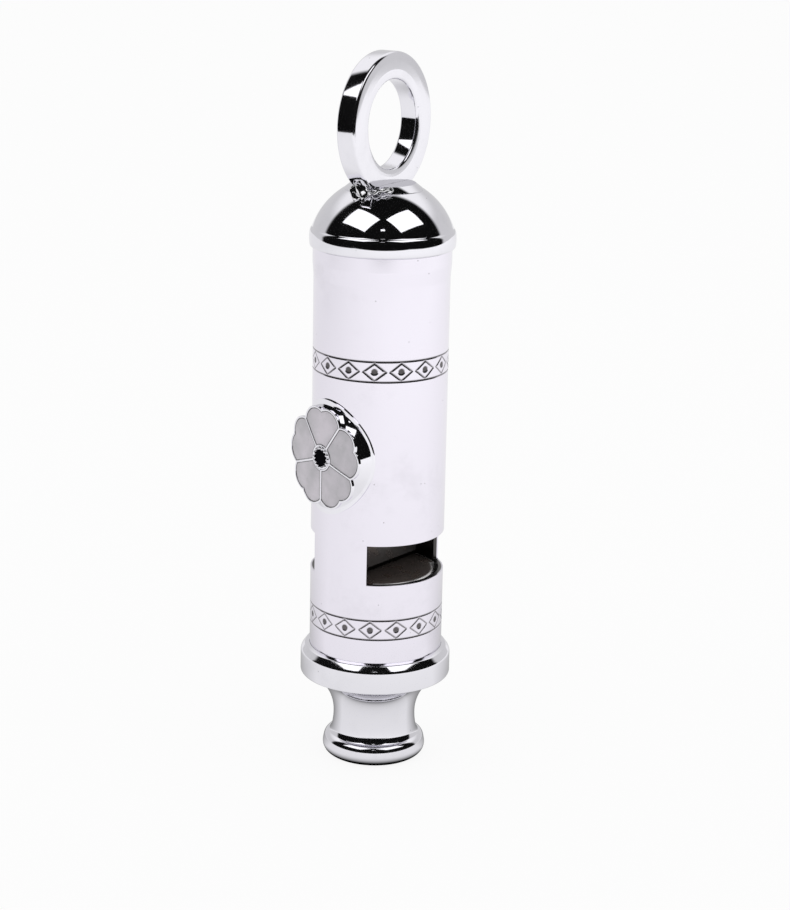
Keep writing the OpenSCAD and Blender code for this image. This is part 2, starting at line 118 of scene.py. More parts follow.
class WhistleMouth(bpy.types.PropertyGroup):
    """Sizes of the mouthpiece"""

    bore_r: length("Bore", "Radius of the bore", 3.4 * MM)
    bore_top: length("Bore's top", "Height where the bore starts to open out", 9.3 * MM)
    air_r: length("Air space", "Radius of the air space under the windways", 6.11 * MM)
    air_low: length("Air space's floor", "Height where the air space is at its widest", 11.8 * MM)
    lip_r: length("Lip", "Largest radius of the lip", 5.85 * MM)
    lip_h: length("Lip height", "Height of the lip", 2.55 * MM)
    lip_low_r: length("Lip's lower round", "Rounding of the lip's lower edge", 1.1 * MM)
    lip_top_r: length("Lip's upper round", "Rounding of the lip's upper edge", 0.95 * MM)
    lip_lean: turn("Lip's lean", "How far the lip's side leans in towards its top", 10)
    fillet_r: length("Fillet", "Radius of the fillet between the lip and the neck", 1.5 * MM)
    fillet_z: length("Fillet height", "Height of the centre of the fillet's round", 3.45 * MM)
    neck_r: length("Neck", "Radius of the neck's waist", 4.65 * MM)
    neck_low: length("Waist's lower end", "Height where the waist starts", 4.75 * MM)
    neck_high: length("Waist's upper end", "Height where the waist ends", 4.85 * MM)
    flare_r: length("Flare", "Radius of the flare down to the lip", 8 * MM)
    sweep_r: length("Sweep", "Radius of the sweep out to the flange", 5.65 * MM)
    flange_r: length("Flange", "Radius of the flange", cad("mouthpiece", 1)[0])
    flange_low: length("Flange's underside", "Height of the flange's underside", 9.9 * MM)
    flange_high: length("Flange's top", "Height of the flange's top", 13.3 * MM)
    flange_low_r: length("Flange's lower round", "Rounding of the flange's lower edge", 0.25 * MM)
    side_high: length("Flange's side", "Height of the top of the flange's side", 12.25 * MM)
    side_r: length("Side's round", "Rounding between the flange's side and bevel", 0.7 * MM)
    bevel: turn("Bevel", "Slope of the flange's bevel", 55)
    land_r: length("Land's round", "Rounding between the flange's bevel and land", 0.27 * MM)
    land: turn("Land", "Slope of the land round the tube", 15)
    spigot_r: length("Spigot", "Radius of the spigot in the tube", 6.88 * MM)
    spigot_high: length("Spigot's top", "Height of the spigot's top", cad("mouthpiece", 1)[2])


class WhistleBlock(bpy.types.PropertyGroup):
    """Sizes of the windway block"""

    radius: length("Radius", "Radius of the block", 6.88 * MM)
    windway: length("Windway", "Depth of the two windways", 0.53 * MM)
    margin: turn("Margin", "How far a windway stops short of the window's sides", 5)
    drop: length("Drop", "Distance from the windows' lower edge down to the block's top", 0.2 * MM)
    lead_h: length("Lead-in's height", "Height of the bevel at a windway's lower end", 1.7 * MM)
    lead_in: length("Lead-in's depth", "Depth of the bevel at a windway's lower end", 1.1 * MM)
    edge: length("Broken edge", "Bevel along the block's upper edge", 0.13 * MM)
    slot_w: length("Slot's width", "Width of the slot for the plate", 0.54 * MM)
    slot_h: length("Slot's depth", "Depth of the slot for the plate", 1 * MM)


class WhistleCap(bpy.types.PropertyGroup):
    """Sizes of the cap and the collar on it"""

    rim_r: length("Rim", "Radius of the rim", 8.03 * MM)
    rim_top_r: length("Rim's upper round", "Rounding of the rim's upper edge", 0.75 * MM)
    rim_low_r: length("Rim's lower round", "Rounding of the rim's lower edge", 0.3 * MM)
    bulge_r: length("Rim's bulge", "Radius of the slight bulge of the rim's side", 5 * MM)
    bulge: turn("Bulge's angle", "Angle that the bulge takes above and below its middle", 8)
    dome_r: length("Dome", "Radius of the dome's sphere", 8.2 * MM)
    dome_drop: length("Dome's centre", "How far the sphere's centre lies below the rim", 0.6 * MM)
    seat_r: length("Seat", "Radius of the flat seat on the dome", 4.4 * MM)
    wall: length("Wall", "Wall of the cap", 0.8 * MM)
    spigot_r: length("Spigot", "Radius of the spigot in the tube", 6.88 * MM)
    spigot_wall: length("Spigot wall", "Wall of the spigot", 0.7 * MM)
    hole_r: length("Hole", "Radius of the hole for the ring's peg", 1.22 * MM)
    collar_h: length("Collar height", "Height of the collar", 0.7 * MM)
    collar_r: length("Collar top", "Radius of the collar's top", 3.5 * MM)
    slot_floor: length("Slot floor", "Thickness of the collar under its slot", 0.1 * MM)


class WhistleRing(bpy.types.PropertyGroup):
    """Sizes of the ring and the solder at its foot"""

    outer_r: length("Outer radius", "Outer radius of the ring", 7.75 * MM)
    band: length("Band", "Width of the ring from its outside to its hole", 2.95 * MM)
    thickness: length("Thickness", "Thickness of the ring along its axis", 2.3 * MM)
    edge_r: length("Edge round", "Rounding of the ring's outer edges", 0.3 * MM)
    bevel_w: length("Bevel's width", "Width of the bevel round the ring's hole", 0.95 * MM)
    bevel_t: length("Bevel's depth", "Depth of the bevel round the ring's hole", 0.05 * MM)
    bevel_r: length("Bevel's round", "Rounding between the ring's face and its bevel", 5 * MM)
    turned: turn("Turn", "Turn of the ring about the whistle's axis", 6)
    peg_r: length("Peg", "Radius of the ring's peg", 1.2 * MM)
    head_r: length("Peg's head", "Radius of the peg's spread end", 2.1 * MM)
    head_h: length("Head height", "Thickness of the peg's spread end", 0.8 * MM)
    lump_r: length("Solder lump", "Radius of the solder at the ends of the foot", 0.95 * MM)
    run_r: length("Solder run", "Radius of the solder that ran round the collar", 0.27 * MM)
    run_turn: turn("Run's angle", "Angle that the solder ran round the collar", 46)
    run_rise: length("Run's rise", "How far the run climbs up the collar", 0.45 * MM)


class WhistleBadge(bpy.types.PropertyGroup):
    """Sizes of the flower badge"""

    centre_z: length("Height", "Height of the badge's centre", 36.4 * MM)
    turned: turn("Turn", "Turn of the badge about the whistle's axis", -10)
    top_r: length("Saddle's top", "Radius of the saddle's top", 5 * MM)
    top_z: length("Saddle's height", "Distance of the saddle's top from the axis", 8.15 * MM)
    bend_r: length("Bend", "Radius that the flower is bent to, round the tube", 32 * MM)
    foot_w: length("Foot's half width", "Half the width of the saddle's foot", 5.4 * MM)
    foot_h: length("Foot's half height", "Half the height of the saddle's foot", 6.45 * MM)
    foot_t: length("Foot's edge", "Thickness of the foot at its edge", 0.2 * MM)
    ramp: share("Ramp", "Share of the way out to the foot's edge that the ramp takes", 0.6)
    fill: share("Ramp's fill", "0 for a hollow ramp, 1 for a straight one", 0.85)
    under_r: length("Underside", "Radius of the saddle's hollow underside", 7.52 * MM)
    flower_z: length("Flower's top", "Distance of the borders' top from the axis", 8.45 * MM)
    border: length("Border", "Width of the metal borders", 0.22 * MM)
    petals: count("Petals", "Number of petals", 5)
    reach: length("Lobe distance", "Distance of the lobes' centres along the petal", 3.7 * MM)
    spread: length("Lobe spread", "Distance of a lobe's centre from the petal's middle", 0.95 * MM)
    lobe_r: length("Lobe", "Radius of a petal's two lobes", 1.75 * MM)
    start_r: length("Petal start", "Distance of the petals' inner ends from the centre", 1.36 * MM)
    cell_cut: length("Cell depth", "Depth of the enamel cells", 0.2 * MM)
    enamel_drop: length("Enamel level", "How far the enamel's edge lies below the borders", 0.06 * MM)
    enamel_crown: length("Enamel crown", "How much the enamel's middle stands up", 0.045 * MM)
    centre_r: length("Dark centre", "Radius of the dark centre", 0.98 * MM)
    bead_r: length("Bead", "Radius of the beads round the centre", 0.19 * MM)
    beads: count("Beads", "Number of beads round the centre", 14)


class WhistleFinish(bpy.types.PropertyGroup):
    """Colours of the finishes"""

    tube: tint("Tube plating", "Colour of the plated tube", (0.86, 0.83, 0.91))
    turned: tint("Turned plating", "Colour of the plated turned pieces", (0.84, 0.83, 0.88))
    ring: tint("Ring plating", "Colour of the plated ring", (0.84, 0.83, 0.88))
    badge: tint("Badge plating", "Colour of the badge's metal", (0.86, 0.85, 0.9))
    block: tint("Block", "Colour of the worn windway block", (0.23, 0.195, 0.18))
    plate: tint("Plate", "Colour of the plate and the stops", (0.24, 0.225, 0.22))
    # The tube's inside colour is near black: painted shade inside the tube
    inside: tint("Inside", "Colour of the tube's inside and its cut edges", (0.09, 0.085, 0.085))
    solder: tint("Solder", "Colour of the solder", (0.78, 0.78, 0.8))
    enamel: tint("Grey enamel", "Colour of the petals", (0.63, 0.59, 0.645))
    enamel_deep: tint("Deep grey enamel", "Colour of the petals' deep enamel", (0.46, 0.445, 0.475))
    dark: tint("Dark enamel", "Colour of the flower's centre", (0.004, 0.004, 0.005))
    grime: tint("Grime", "Colour of what has settled in the engraving", (0.16, 0.15, 0.155))


class WhistleStudio(bpy.types.PropertyGroup):
    """Camera and surroundings"""

    camera_turn: turn("Camera's turn", "Turn of the camera about the axis, from the -Y side", 38.5)
    camera_out: length("Camera's distance", "Distance of the camera from the axis", 247.7 * MM)
    camera_up: length("Camera's height", "Height of the camera above the table", 104.8 * MM)
    camera_pitch: turn("Camera's pitch", "How far the camera looks down", 15.67)
    camera_yaw: turn("Camera's aim", "How far the camera aims to the right of the axis", 0.42)
    camera_roll: turn("Camera's roll", "How far the camera leans to the left", 1.18)
    camera_angle: turn("Camera's field", "Angle of view along the picture's long side", 22.34)
    lamp_z: length("Lamp height", "Height of the lamp panels", 0.9)
    table_front: length("Table's front", "Distance of the white table's front edge", 0.335)
    table_side: length("Table's half width", "Half the width of the white table at its front", 0.3)
    table_wide: length("Table's widest", "Half the width of the white table behind the whistle", 0.62)
    table_back: length("Table's back", "Distance of the table's widest part behind the whistle", 0.29)


# Shapes as arrays of points


def arc(centre, radius, start, end, steps=16):
    """Points on a circle: centre + radius * (cos a, sin a), for a from start to end in degrees."""
    a = np.radians(np.linspace(start, end, steps))
    return np.array(centre) + radius * np.stack([np.cos(a), np.sin(a)], axis=1)


def crossing(centre_a, radius_a, centre_b, radius_b, side):
    """Where two circles cross: on the line of their centres at (d*d + ra*ra - rb*rb) / 2d from the
    first, and from there square to that line; side 1 is to its left, -1 to its right."""
    a, b = np.array(centre_a), np.array(centre_b)
    d = np.linalg.norm(b - a)
    along = (d * d + radius_a**2 - radius_b**2) / (2 * d)
    across = math.sqrt(radius_a**2 - along**2)
    u = (b - a) / d
    return a + along * u + side * across * np.array([-u[1], u[0]])


def bearing(centre, point):
    """Direction of a point from a centre, in degrees."""
    return math.degrees(math.atan2(point[1] - centre[1], point[0] - centre[0]))


def rounded(corners, radii, steps=7):
    """A closed outline whose corners are replaced by arcs: an arc's centre lies on the corner's
    bisector at r / sin(half the angle), and its ends touch both sides."""
    p = np.array(corners, float)
    r = np.maximum(np.broadcast_to(np.array(radii, float), len(p)), 1e-9)
    u = np.roll(p, 1, axis=0) - p
    v = np.roll(p, -1, axis=0) - p
    u /= np.linalg.norm(u, axis=1, keepdims=True)
    v /= np.linalg.norm(v, axis=1, keepdims=True)
    half = np.arccos(np.clip((u * v).sum(axis=1), -1, 1)) / 2
    middle = u + v
    middle /= np.linalg.norm(middle, axis=1, keepdims=True)
    centre = p + middle * (r / np.sin(half))[:, None]
    from_centre = p + u * (r / np.tan(half))[:, None] - centre
    to_centre = p + v * (r / np.tan(half))[:, None] - centre
    sweep = (math.pi - 2 * half)[:, None, None]
    t = np.linspace(0, 1, steps)[None, :, None]
    arcs = np.sin((1 - t) * sweep) * from_centre[:, None] + np.sin(t * sweep) * to_centre[:, None]
    return (centre[:, None] + arcs / np.sin(sweep)).reshape(-1, 2)


def without_repeats(outline):
    """The outline without points that lie on the one before, within a thousandth of a millimetre."""
    step = np.linalg.norm(outline - np.roll(outline, 1, axis=0), axis=1)
    return outline[step > 0.001 * MM]


def edge_share(outline):
    """How sharp a closed outline bends outwards at each point, from 0 to 1: the turn there divided
    by the way to the neighbours, times a radius, less what a round of 1.25 mm has."""
    radius = 0.5 * MM
    dull = 0.4
    before = outline - np.roll(outline, 1, axis=0)
    after = np.roll(outline, -1, axis=0) - outline
    cross = before[:, 0] * after[:, 1] - before[:, 1] * after[:, 0]
    bend = np.arctan2(cross, (before * after).sum(axis=1))
    way = (np.linalg.norm(before, axis=1) + np.linalg.norm(after, axis=1)) / 2
    return np.clip(radius * bend / way - dull, 0, 1)


def grid_faces(rows, columns, close_rows=False, first=0):
    """Four-sided faces of a grid of points, row by row, whose columns close on themselves, and
    whose rows may. first is the number of the first point."""
    index = first + np.arange(rows * columns).reshape(rows, columns)
    if close_rows:
        index = np.vstack([index, index[:1]])
    index = np.hstack([index, index[:, :1]])
    a, b = index[:-1, :-1], index[:-1, 1:]
    c, d = index[1:, 1:], index[1:, :-1]
    return np.stack([a, b, c, d], axis=-1).reshape(-1, 4)


def full_turn(columns):
    """So many angles, evenly round a full turn."""
    return np.linspace(0, 2 * math.pi, columns, endpoint=False)


def points_at(x, y, z):
    """Points (x, y, z), row by row, from arrays that are stretched to the shape of one grid."""
    return np.stack(np.broadcast_arrays(x, y, z), axis=-1).reshape(-1, 3)


def points_round(r, a, z):
    """Points about the Z axis: (r cos a, r sin a, z)."""
    return points_at(r * np.cos(a), r * np.sin(a), z)


def revolved(outline, columns=256):
    """Surface of revolution about the Z axis: (r cos a, r sin a, z) for each point (r, z) of a
    closed outline and each of so many angles a. Gives points, faces and the sharpness of edges."""
    outline = without_repeats(np.asarray(outline))
    points = points_round(outline[:, 0, None], full_turn(columns), outline[:, 1, None])
    edge = np.repeat(edge_share(outline), columns)
    return points, grid_faces(len(outline), columns, close_rows=True), edge


def turned_about_z(points, angle):
    """Points turned about the Z axis: (x cos a - y sin a, x sin a + y cos a, z)."""
    c, s = math.cos(angle), math.sin(angle)
    x, y, z = points.T
    return np.stack([c * x - s * y, s * x + c * y, z], axis=1)


def bent(x, badge):
    """How far the bent flower falls back at a distance x from its middle: r - sqrt(r*r - x*x)."""
    return badge.bend_r - np.sqrt(badge.bend_r**2 - x**2)


def on_badge(points, badge, flower=True):
    """From the badge's own frame (x across, y up, z straight out from the axis) to the whistle's;
    the flower's pieces are bent on the way."""
    x, y, z = points.T
    if flower:
        z = z - bent(x, badge)
    upright = np.stack([x, -z, y + badge.centre_z], axis=1)
    return turned_about_z(upright, badge.turned)


def joined(*shapes):
    """Several (points, faces) as one: each next shape's faces count on from the points before."""
    points = np.vstack([shape[0] for shape in shapes])
    starts = np.cumsum([0] + [len(shape[0]) for shape in shapes[:-1]])
    return points, np.vstack([shape[1] + start for shape, start in zip(shapes, starts)])


def chosen(context, *names):
    """The sizes and colours that the user has chosen, by the names of their groups."""
    return [getattr(context.scene, "whistle_" + name) for name in names]


def add_piece(name, points, faces, material, stands_for, marks=None, sharp=40):
    """Puts a surface into the scene as a closed piece of the whistle: doubles merged, faces outwards,
    smooth but for edges sharper than so many degrees. marks are numbers kept on its points."""
    same_place, no_length = 0.0005 * MM, 0.0001 * MM
    mesh = bpy.data.meshes.new(name)
    mesh.from_pydata(points.tolist(), [], faces.tolist())
    for mark, values in (marks or {}).items():
        layer = mesh.attributes.new(mark, "FLOAT", "POINT")
        layer.data.foreach_set("value", np.asarray(values, np.float32))
    solid = bmesh.new()
    solid.from_mesh(mesh)
    bmesh.ops.remove_doubles(solid, verts=solid.verts, dist=same_place)
    bmesh.ops.dissolve_degenerate(solid, edges=solid.edges, dist=no_length)
    bmesh.ops.recalc_face_normals(solid, faces=solid.faces)
    solid.to_mesh(mesh)
    solid.free()
    mesh.shade_smooth()
    mesh.set_sharp_from_angle(angle=math.radians(sharp))
    piece = bpy.data.objects.new(name, mesh)
    bpy.context.scene.collection.objects.link(piece)
    mesh.materials.append(material)
    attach(piece, "root")
    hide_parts(*stands_for)
    return piece


# Shader nodes


def feed(tree, made, values):
    """Gives a node's inputs, by name or place, their plain values or the sockets that they follow."""
    for key, value in values.items():
        if isinstance(value, bpy.types.NodeSocket):
            tree.links.new(value, made.inputs[key])
        else:
            made.inputs[key].default_value = value


def node(tree, kind, values=None, **settings):
    """A new shader node of this kind, with its settings and with what its inputs get."""
    made = tree.nodes.new("ShaderNode" + kind)
    for key, value in settings.items():
        setattr(made, key, value)
    feed(tree, made, values or {})
    return made


def calculate(tree, operation, *values, clamp=False):
    """A Math node on sockets or plain numbers; gives its output."""
    return node(tree, "Math", dict(enumerate(values)), operation=operation, use_clamp=clamp).outputs[0]


def dot_product(tree, vector, direction):
    """How far a vector goes along a direction, as their dot product."""
    made = node(tree, "VectorMath", {0: vector, 1: tuple(direction.tolist())}, operation="DOT_PRODUCT")
    return made.outputs["Value"]


def soft_step(tree, value, start, end, low=0.0, high=1.0):
    """Low where the value is at the start, high where it is at the end, and a smooth step between."""
    ends = {1: start, 2: end, 3: low, 4: high}
    return node(tree, "MapRange", {0: value, **ends}, interpolation_type="SMOOTHSTEP").outputs[0]


def cloud(tree, vector, scale, detail, roughness=0.5):
    """Noise from 0 to 1, with this many waves to a metre."""
    values = {"Vector": vector, "Scale": scale, "Detail": detail, "Roughness": roughness}
    return node(tree, "TexNoise", values).outputs[0]


def cells(tree, vector, scale):
    """Distance to the nearest of scattered points, this many to a metre."""
    return node(tree, "TexVoronoi", {"Vector": vector, "Scale": scale}, feature="F1").outputs["Distance"]


# Shared effects


def turning_marks(group, given):
    """Fine rings that a lathe and a polishing wheel leave, as noise of the distance from the axis
    and the height only, broken up by a slower noise round the piece."""
    x, y, z = node(group, "SeparateXYZ", {0: given["Vector"]}).outputs
    squares = [calculate(group, "MULTIPLY", part, part) for part in (x, y)]
    reach = calculate(group, "SQRT", calculate(group, "ADD", *squares))
    lines = calculate(group, "MULTIPLY", given["Lines per mm"], 1 / MM)
    across, up = [calculate(group, "MULTIPLY", part, lines) for part in (reach, z)]
    profile = node(group, "CombineXYZ", {0: across, 2: up})
    rings = cloud(group, profile.outputs[0], 1.0, detail=3.0, roughness=0.6)
    patches = cloud(group, given["Vector"], 350.0, detail=2.0)
    return {"Height": calculate(group, "MULTIPLY", rings, patches)}


def handling(group, given):
    """What hands and time leave on plating. Tarnish is a slow cloud with a soft threshold, Pits are
    the middles of scattered cells, and Worn is a fine noise along the sharp edges."""
    clouds_per_m = calculate(group, "DIVIDE", 1 / MM, given["Cloud Size mm"])
    pits_per_m = calculate(group, "DIVIDE", 1 / MM, given["Pit Size mm"])
    veil = cloud(group, given["Vector"], clouds_per_m, detail=5.0, roughness=0.62)
    fine = cloud(group, given["Vector"], 1400.0, detail=3.0)
    return {
        "Tarnish": soft_step(group, veil, 0.5, 0.75),
        "Pits": soft_step(group, cells(group, given["Vector"], pits_per_m), 0.055, 0.03),
        "Worn": calculate(group, "MULTIPLY", given["Edge"], fine, clamp=True),
    }


def glaze_depth(group, given):
    """Cloudy depth of fired enamel, from a slow noise and the sixth power of the share of the way
    out to the cell's edge, with tiny bubbles as the middles of scattered cells."""
    veil = cloud(group, given["Vector"], 260.0, detail=4.0, roughness=0.55)
    spread = node(group, "MapRange", {0: veil, 1: 0.36, 2: 0.64}).outputs[0]
    rim = calculate(group, "POWER", given["Edge"], 6.0)
    return {
        "Depth": calculate(group, "MULTIPLY_ADD", rim, 0.4, spread, clamp=True),
        "Bubbles": soft_step(group, cells(group, given["Vector"], 2600.0), 0.1, 0.05),
        "Height": cloud(group, given["Vector"], 420.0, detail=1.0),
    }


# What works out each effect, and its inputs with their defaults, None for a vector
EFFECTS = {
    "Turning Marks": (turning_marks, {"Vector": None, "Lines per mm": 6.0}),
    "Handling": (handling, {"Vector": None, "Edge": 0.0, "Cloud Size mm": 6.0, "Pit Size mm": 1.6}),
    "Glaze Depth": (glaze_depth, {"Vector": None, "Edge": 0.0}),
}


def effect(name):
    """The shader group of this effect, made when it is first used. All that it puts out are numbers."""
    if name in bpy.data.node_groups:
        return bpy.data.node_groups[name]
    work_out, inputs = EFFECTS[name]
    group = bpy.data.node_groups.new(name, "ShaderNodeTree")
    for label, default in inputs.items():
        kind = "NodeSocketVector" if default is None else "NodeSocketFloat"
        socket = group.interface.new_socket(name=label, in_out="INPUT", socket_type=kind)
        if default is not None:
            socket.default_value = default
    results = work_out(group, group.nodes.new("NodeGroupInput").outputs)
    for label in results:
        group.interface.new_socket(name=label, in_out="OUTPUT", socket_type="NodeSocketFloat")
    feed(group, group.nodes.new("NodeGroupOutput"), results)
    return group


def use_effect(tree, name, values):
    """Places an effect's group with what its inputs get; gives its outputs."""
    return node(tree, "Group", values, node_tree=effect(name)).outputs


# Finishes


def new_material(name):
    """A material with an empty tree; gives both."""
    material = bpy.data.materials.new(name)
    material.use_nodes = True
    material.node_tree.nodes.clear()
    return material, material.node_tree


def put_on_surface(tree, kind, values):
    """Makes a shader of this kind, with what its inputs get, the material's surface."""
    shader = node(tree, kind, values)
    node(tree, "OutputMaterial", {"Surface": shader.outputs[0]})


def shaded(colour, share_left):
    """A colour with this share of its brightness left."""
    return tuple(share_left * c for c in colour)


def layer(tree, looks, mask, colour=None, rougher=None):
    """Lays a colour over the looks, a colour and a roughness, and makes them rougher where a mask
    is 1. Inputs 6 and 7 and output 2 of a Mix node are its colours."""
    below, rough = looks
    if colour is not None:
        first, second = [c if isinstance(c, bpy.types.NodeSocket) else (*c, 1) for c in (below, colour)]
        below = node(tree, "Mix", {0: mask, 6: first, 7: second}, data_type="RGBA").outputs[2]
    if rougher is not None:
        rough = calculate(tree, "MULTIPLY_ADD", mask, rougher, rough)
    return below, rough


def principled(tree, looks, height, depth, values):
    """Puts a Principled shader on the surface: these looks, a relief with this height and a depth in
    metres, and what its other inputs get."""
    normal = node(tree, "Bump", {"Height": height, "Distance": depth}).outputs[0]
    given = {"Base Color": looks[0], "Roughness": looks[1], "Normal": normal, **values}
    put_on_surface(tree, "BsdfPrincipled", given)


def own_frame(tree, centre=(0, 0, 0), angles=(0, 0, 0)):
    """Object coordinates with a piece's centre at the origin and its axis along Z."""
    place = node(tree, "TexCoord").outputs["Object"]
    values = {"Vector": place, "Location": centre, "Rotation": angles}
    return node(tree, "Mapping", values, vector_type="TEXTURE").outputs[0]


def mark_on_points(tree, name):
    """The number that a piece keeps on its points under this name."""
    return node(tree, "Attribute", attribute_name=name).outputs["Fac"]


def plating(name, colour, roughness, lines=6.0, centre=(0, 0, 0), angles=(0, 0, 0), grime=None,
            inside=None):
    """Polished plating: lathe rings, so many to a millimetre, a thin tarnish, pits, rubbed edges and,
    where the piece is engraved, grime in the lines. A tube's inside and cut edges may be painted
    darker, as painted shade."""
    material, tree = new_material(name)
    vector = own_frame(tree, centre, angles)
    marks = use_effect(tree, "Turning Marks", {"Vector": vector, "Lines per mm": lines})
    worn = use_effect(tree, "Handling", {"Vector": vector, "Edge": mark_on_points(tree, "edge")})
    looks = colour, roughness
    looks = layer(tree, looks, worn["Tarnish"], shaded(colour, 0.94), rougher=0.05)
    looks = layer(tree, looks, worn["Pits"], shaded(colour, 0.55))
    looks = layer(tree, looks, worn["Worn"], rougher=0.1)
    if grime is not None:
        looks = layer(tree, looks, mark_on_points(tree, "engraved"), grime, rougher=0.3)
    if inside is not None:
        # The mark is 1 inside and 0 outside, and the cut edges lie between; the near-black laid there is
        # painted shade
        from_outside = soft_step(tree, mark_on_points(tree, "inside"), 0.2, 0.4)
        looks = layer(tree, looks, from_outside, inside, rougher=0.2)
    principled(tree, looks, marks["Height"], 0.0006 * MM, {"Metallic": 1.0})
    return material


def worn_inner_metal(name, colour, corner_z):
    """Bare metal inside the tube, dulled by breath: brown clouds, pits and lathe rings, edges painted
    bright as rubbed metal and as a painted highlight, and painted shade, near black, in the corner at
    this height between the block and the plate, as the distance sqrt(x*x + z*z) from just above it
    in the section."""
    brown = (0.85 * colour[0], 0.68 * colour[1], 0.58 * colour[2])
    rubbed_and_highlight_colour = (0.95, 0.94, 0.95)
    corner_shade_colour = (0.01, 0.009, 0.008)
    shade_above = 0.12 * MM
    shade_end_r, shade_full_r = 0.43 * MM, 0.3 * MM
    material, tree = new_material(name)
    vector = own_frame(tree)
    marks = use_effect(tree, "Turning Marks", {"Vector": vector, "Lines per mm": 3.0})
    worn = use_effect(tree, "Handling", {"Vector": vector, "Cloud Size mm": 2.0, "Pit Size mm": 0.8})
    section = node(tree, "VectorMath", {0: vector, 1: (1, 0, 1)}, operation="MULTIPLY").outputs[0]
    above_corner = {0: section, 1: (0, 0, corner_z + shade_above)}
    away = node(tree, "VectorMath", above_corner, operation="DISTANCE").outputs["Value"]
    looks = colour, 0.22
    looks = layer(tree, looks, worn["Tarnish"], brown, rougher=0.2)
    looks = layer(tree, looks, worn["Pits"], shaded(colour, 0.4))
    # Edges painted bright: partly rubbed metal, partly a painted highlight
    looks = layer(tree, looks, mark_on_points(tree, "edge"), rubbed_and_highlight_colour)
    # Painted shade: near black in the corner between the block and the plate
    looks = layer(tree, looks, soft_step(tree, away, shade_end_r, shade_full_r), corner_shade_colour)
    # Partly matt, and its gloss is faint and brown, so that it stays dull when seen along its face
    principled(tree, looks, marks["Height"], 0.004 * MM, {
        "Metallic": 0.6,
        "Specular IOR Level": 0.1,
        "Specular Tint": (0.5, 0.43, 0.4, 1),
    })
    return material


def frozen_solder(name, colour):
    """Solder as it froze: bright, with crystal facets a fraction of a millimetre across."""
    material, tree = new_material(name)
    vector = own_frame(tree)
    worn = use_effect(tree, "Handling", {"Vector": vector, "Cloud Size mm": 1.2, "Pit Size mm": 0.5})
    looks = layer(tree, (colour, 0.1), worn["Tarnish"], shaded(colour, 0.6), rougher=0.12)
    principled(tree, looks, cells(tree, vector, 1700.0), 0.035 * MM, {"Metallic": 1.0})
    return material


def fired_enamel(name, colour, deep, coat, shine):
    """Fired enamel, ground flat and polished: cloudy colour that deepens at the cell's edge, a dark
    line of painted shade along that edge, next to the border, a few bubbles, and a clear glossy
    coat."""
    material, tree = new_material(name)
    rim = mark_on_points(tree, "rim")
    glaze = use_effect(tree, "Glaze Depth", {"Vector": own_frame(tree), "Edge": rim})
    looks = colour, 0.22
    looks = layer(tree, looks, glaze["Depth"], deep)
    looks = layer(tree, looks, glaze["Bubbles"], shaded(deep, 0.6))
    # Painted shade: a dark line along the cell's edge, next to the border
    looks = layer(tree, looks, soft_step(tree, rim, 0.955, 0.98), shaded(deep, 0.18))
    principled(tree, looks, glaze["Height"], 0.012 * MM, {
        "Coat Weight": coat,
        "Coat Roughness": 0.05,
        "Specular IOR Level": shine,
    })
    return material


# Pieces


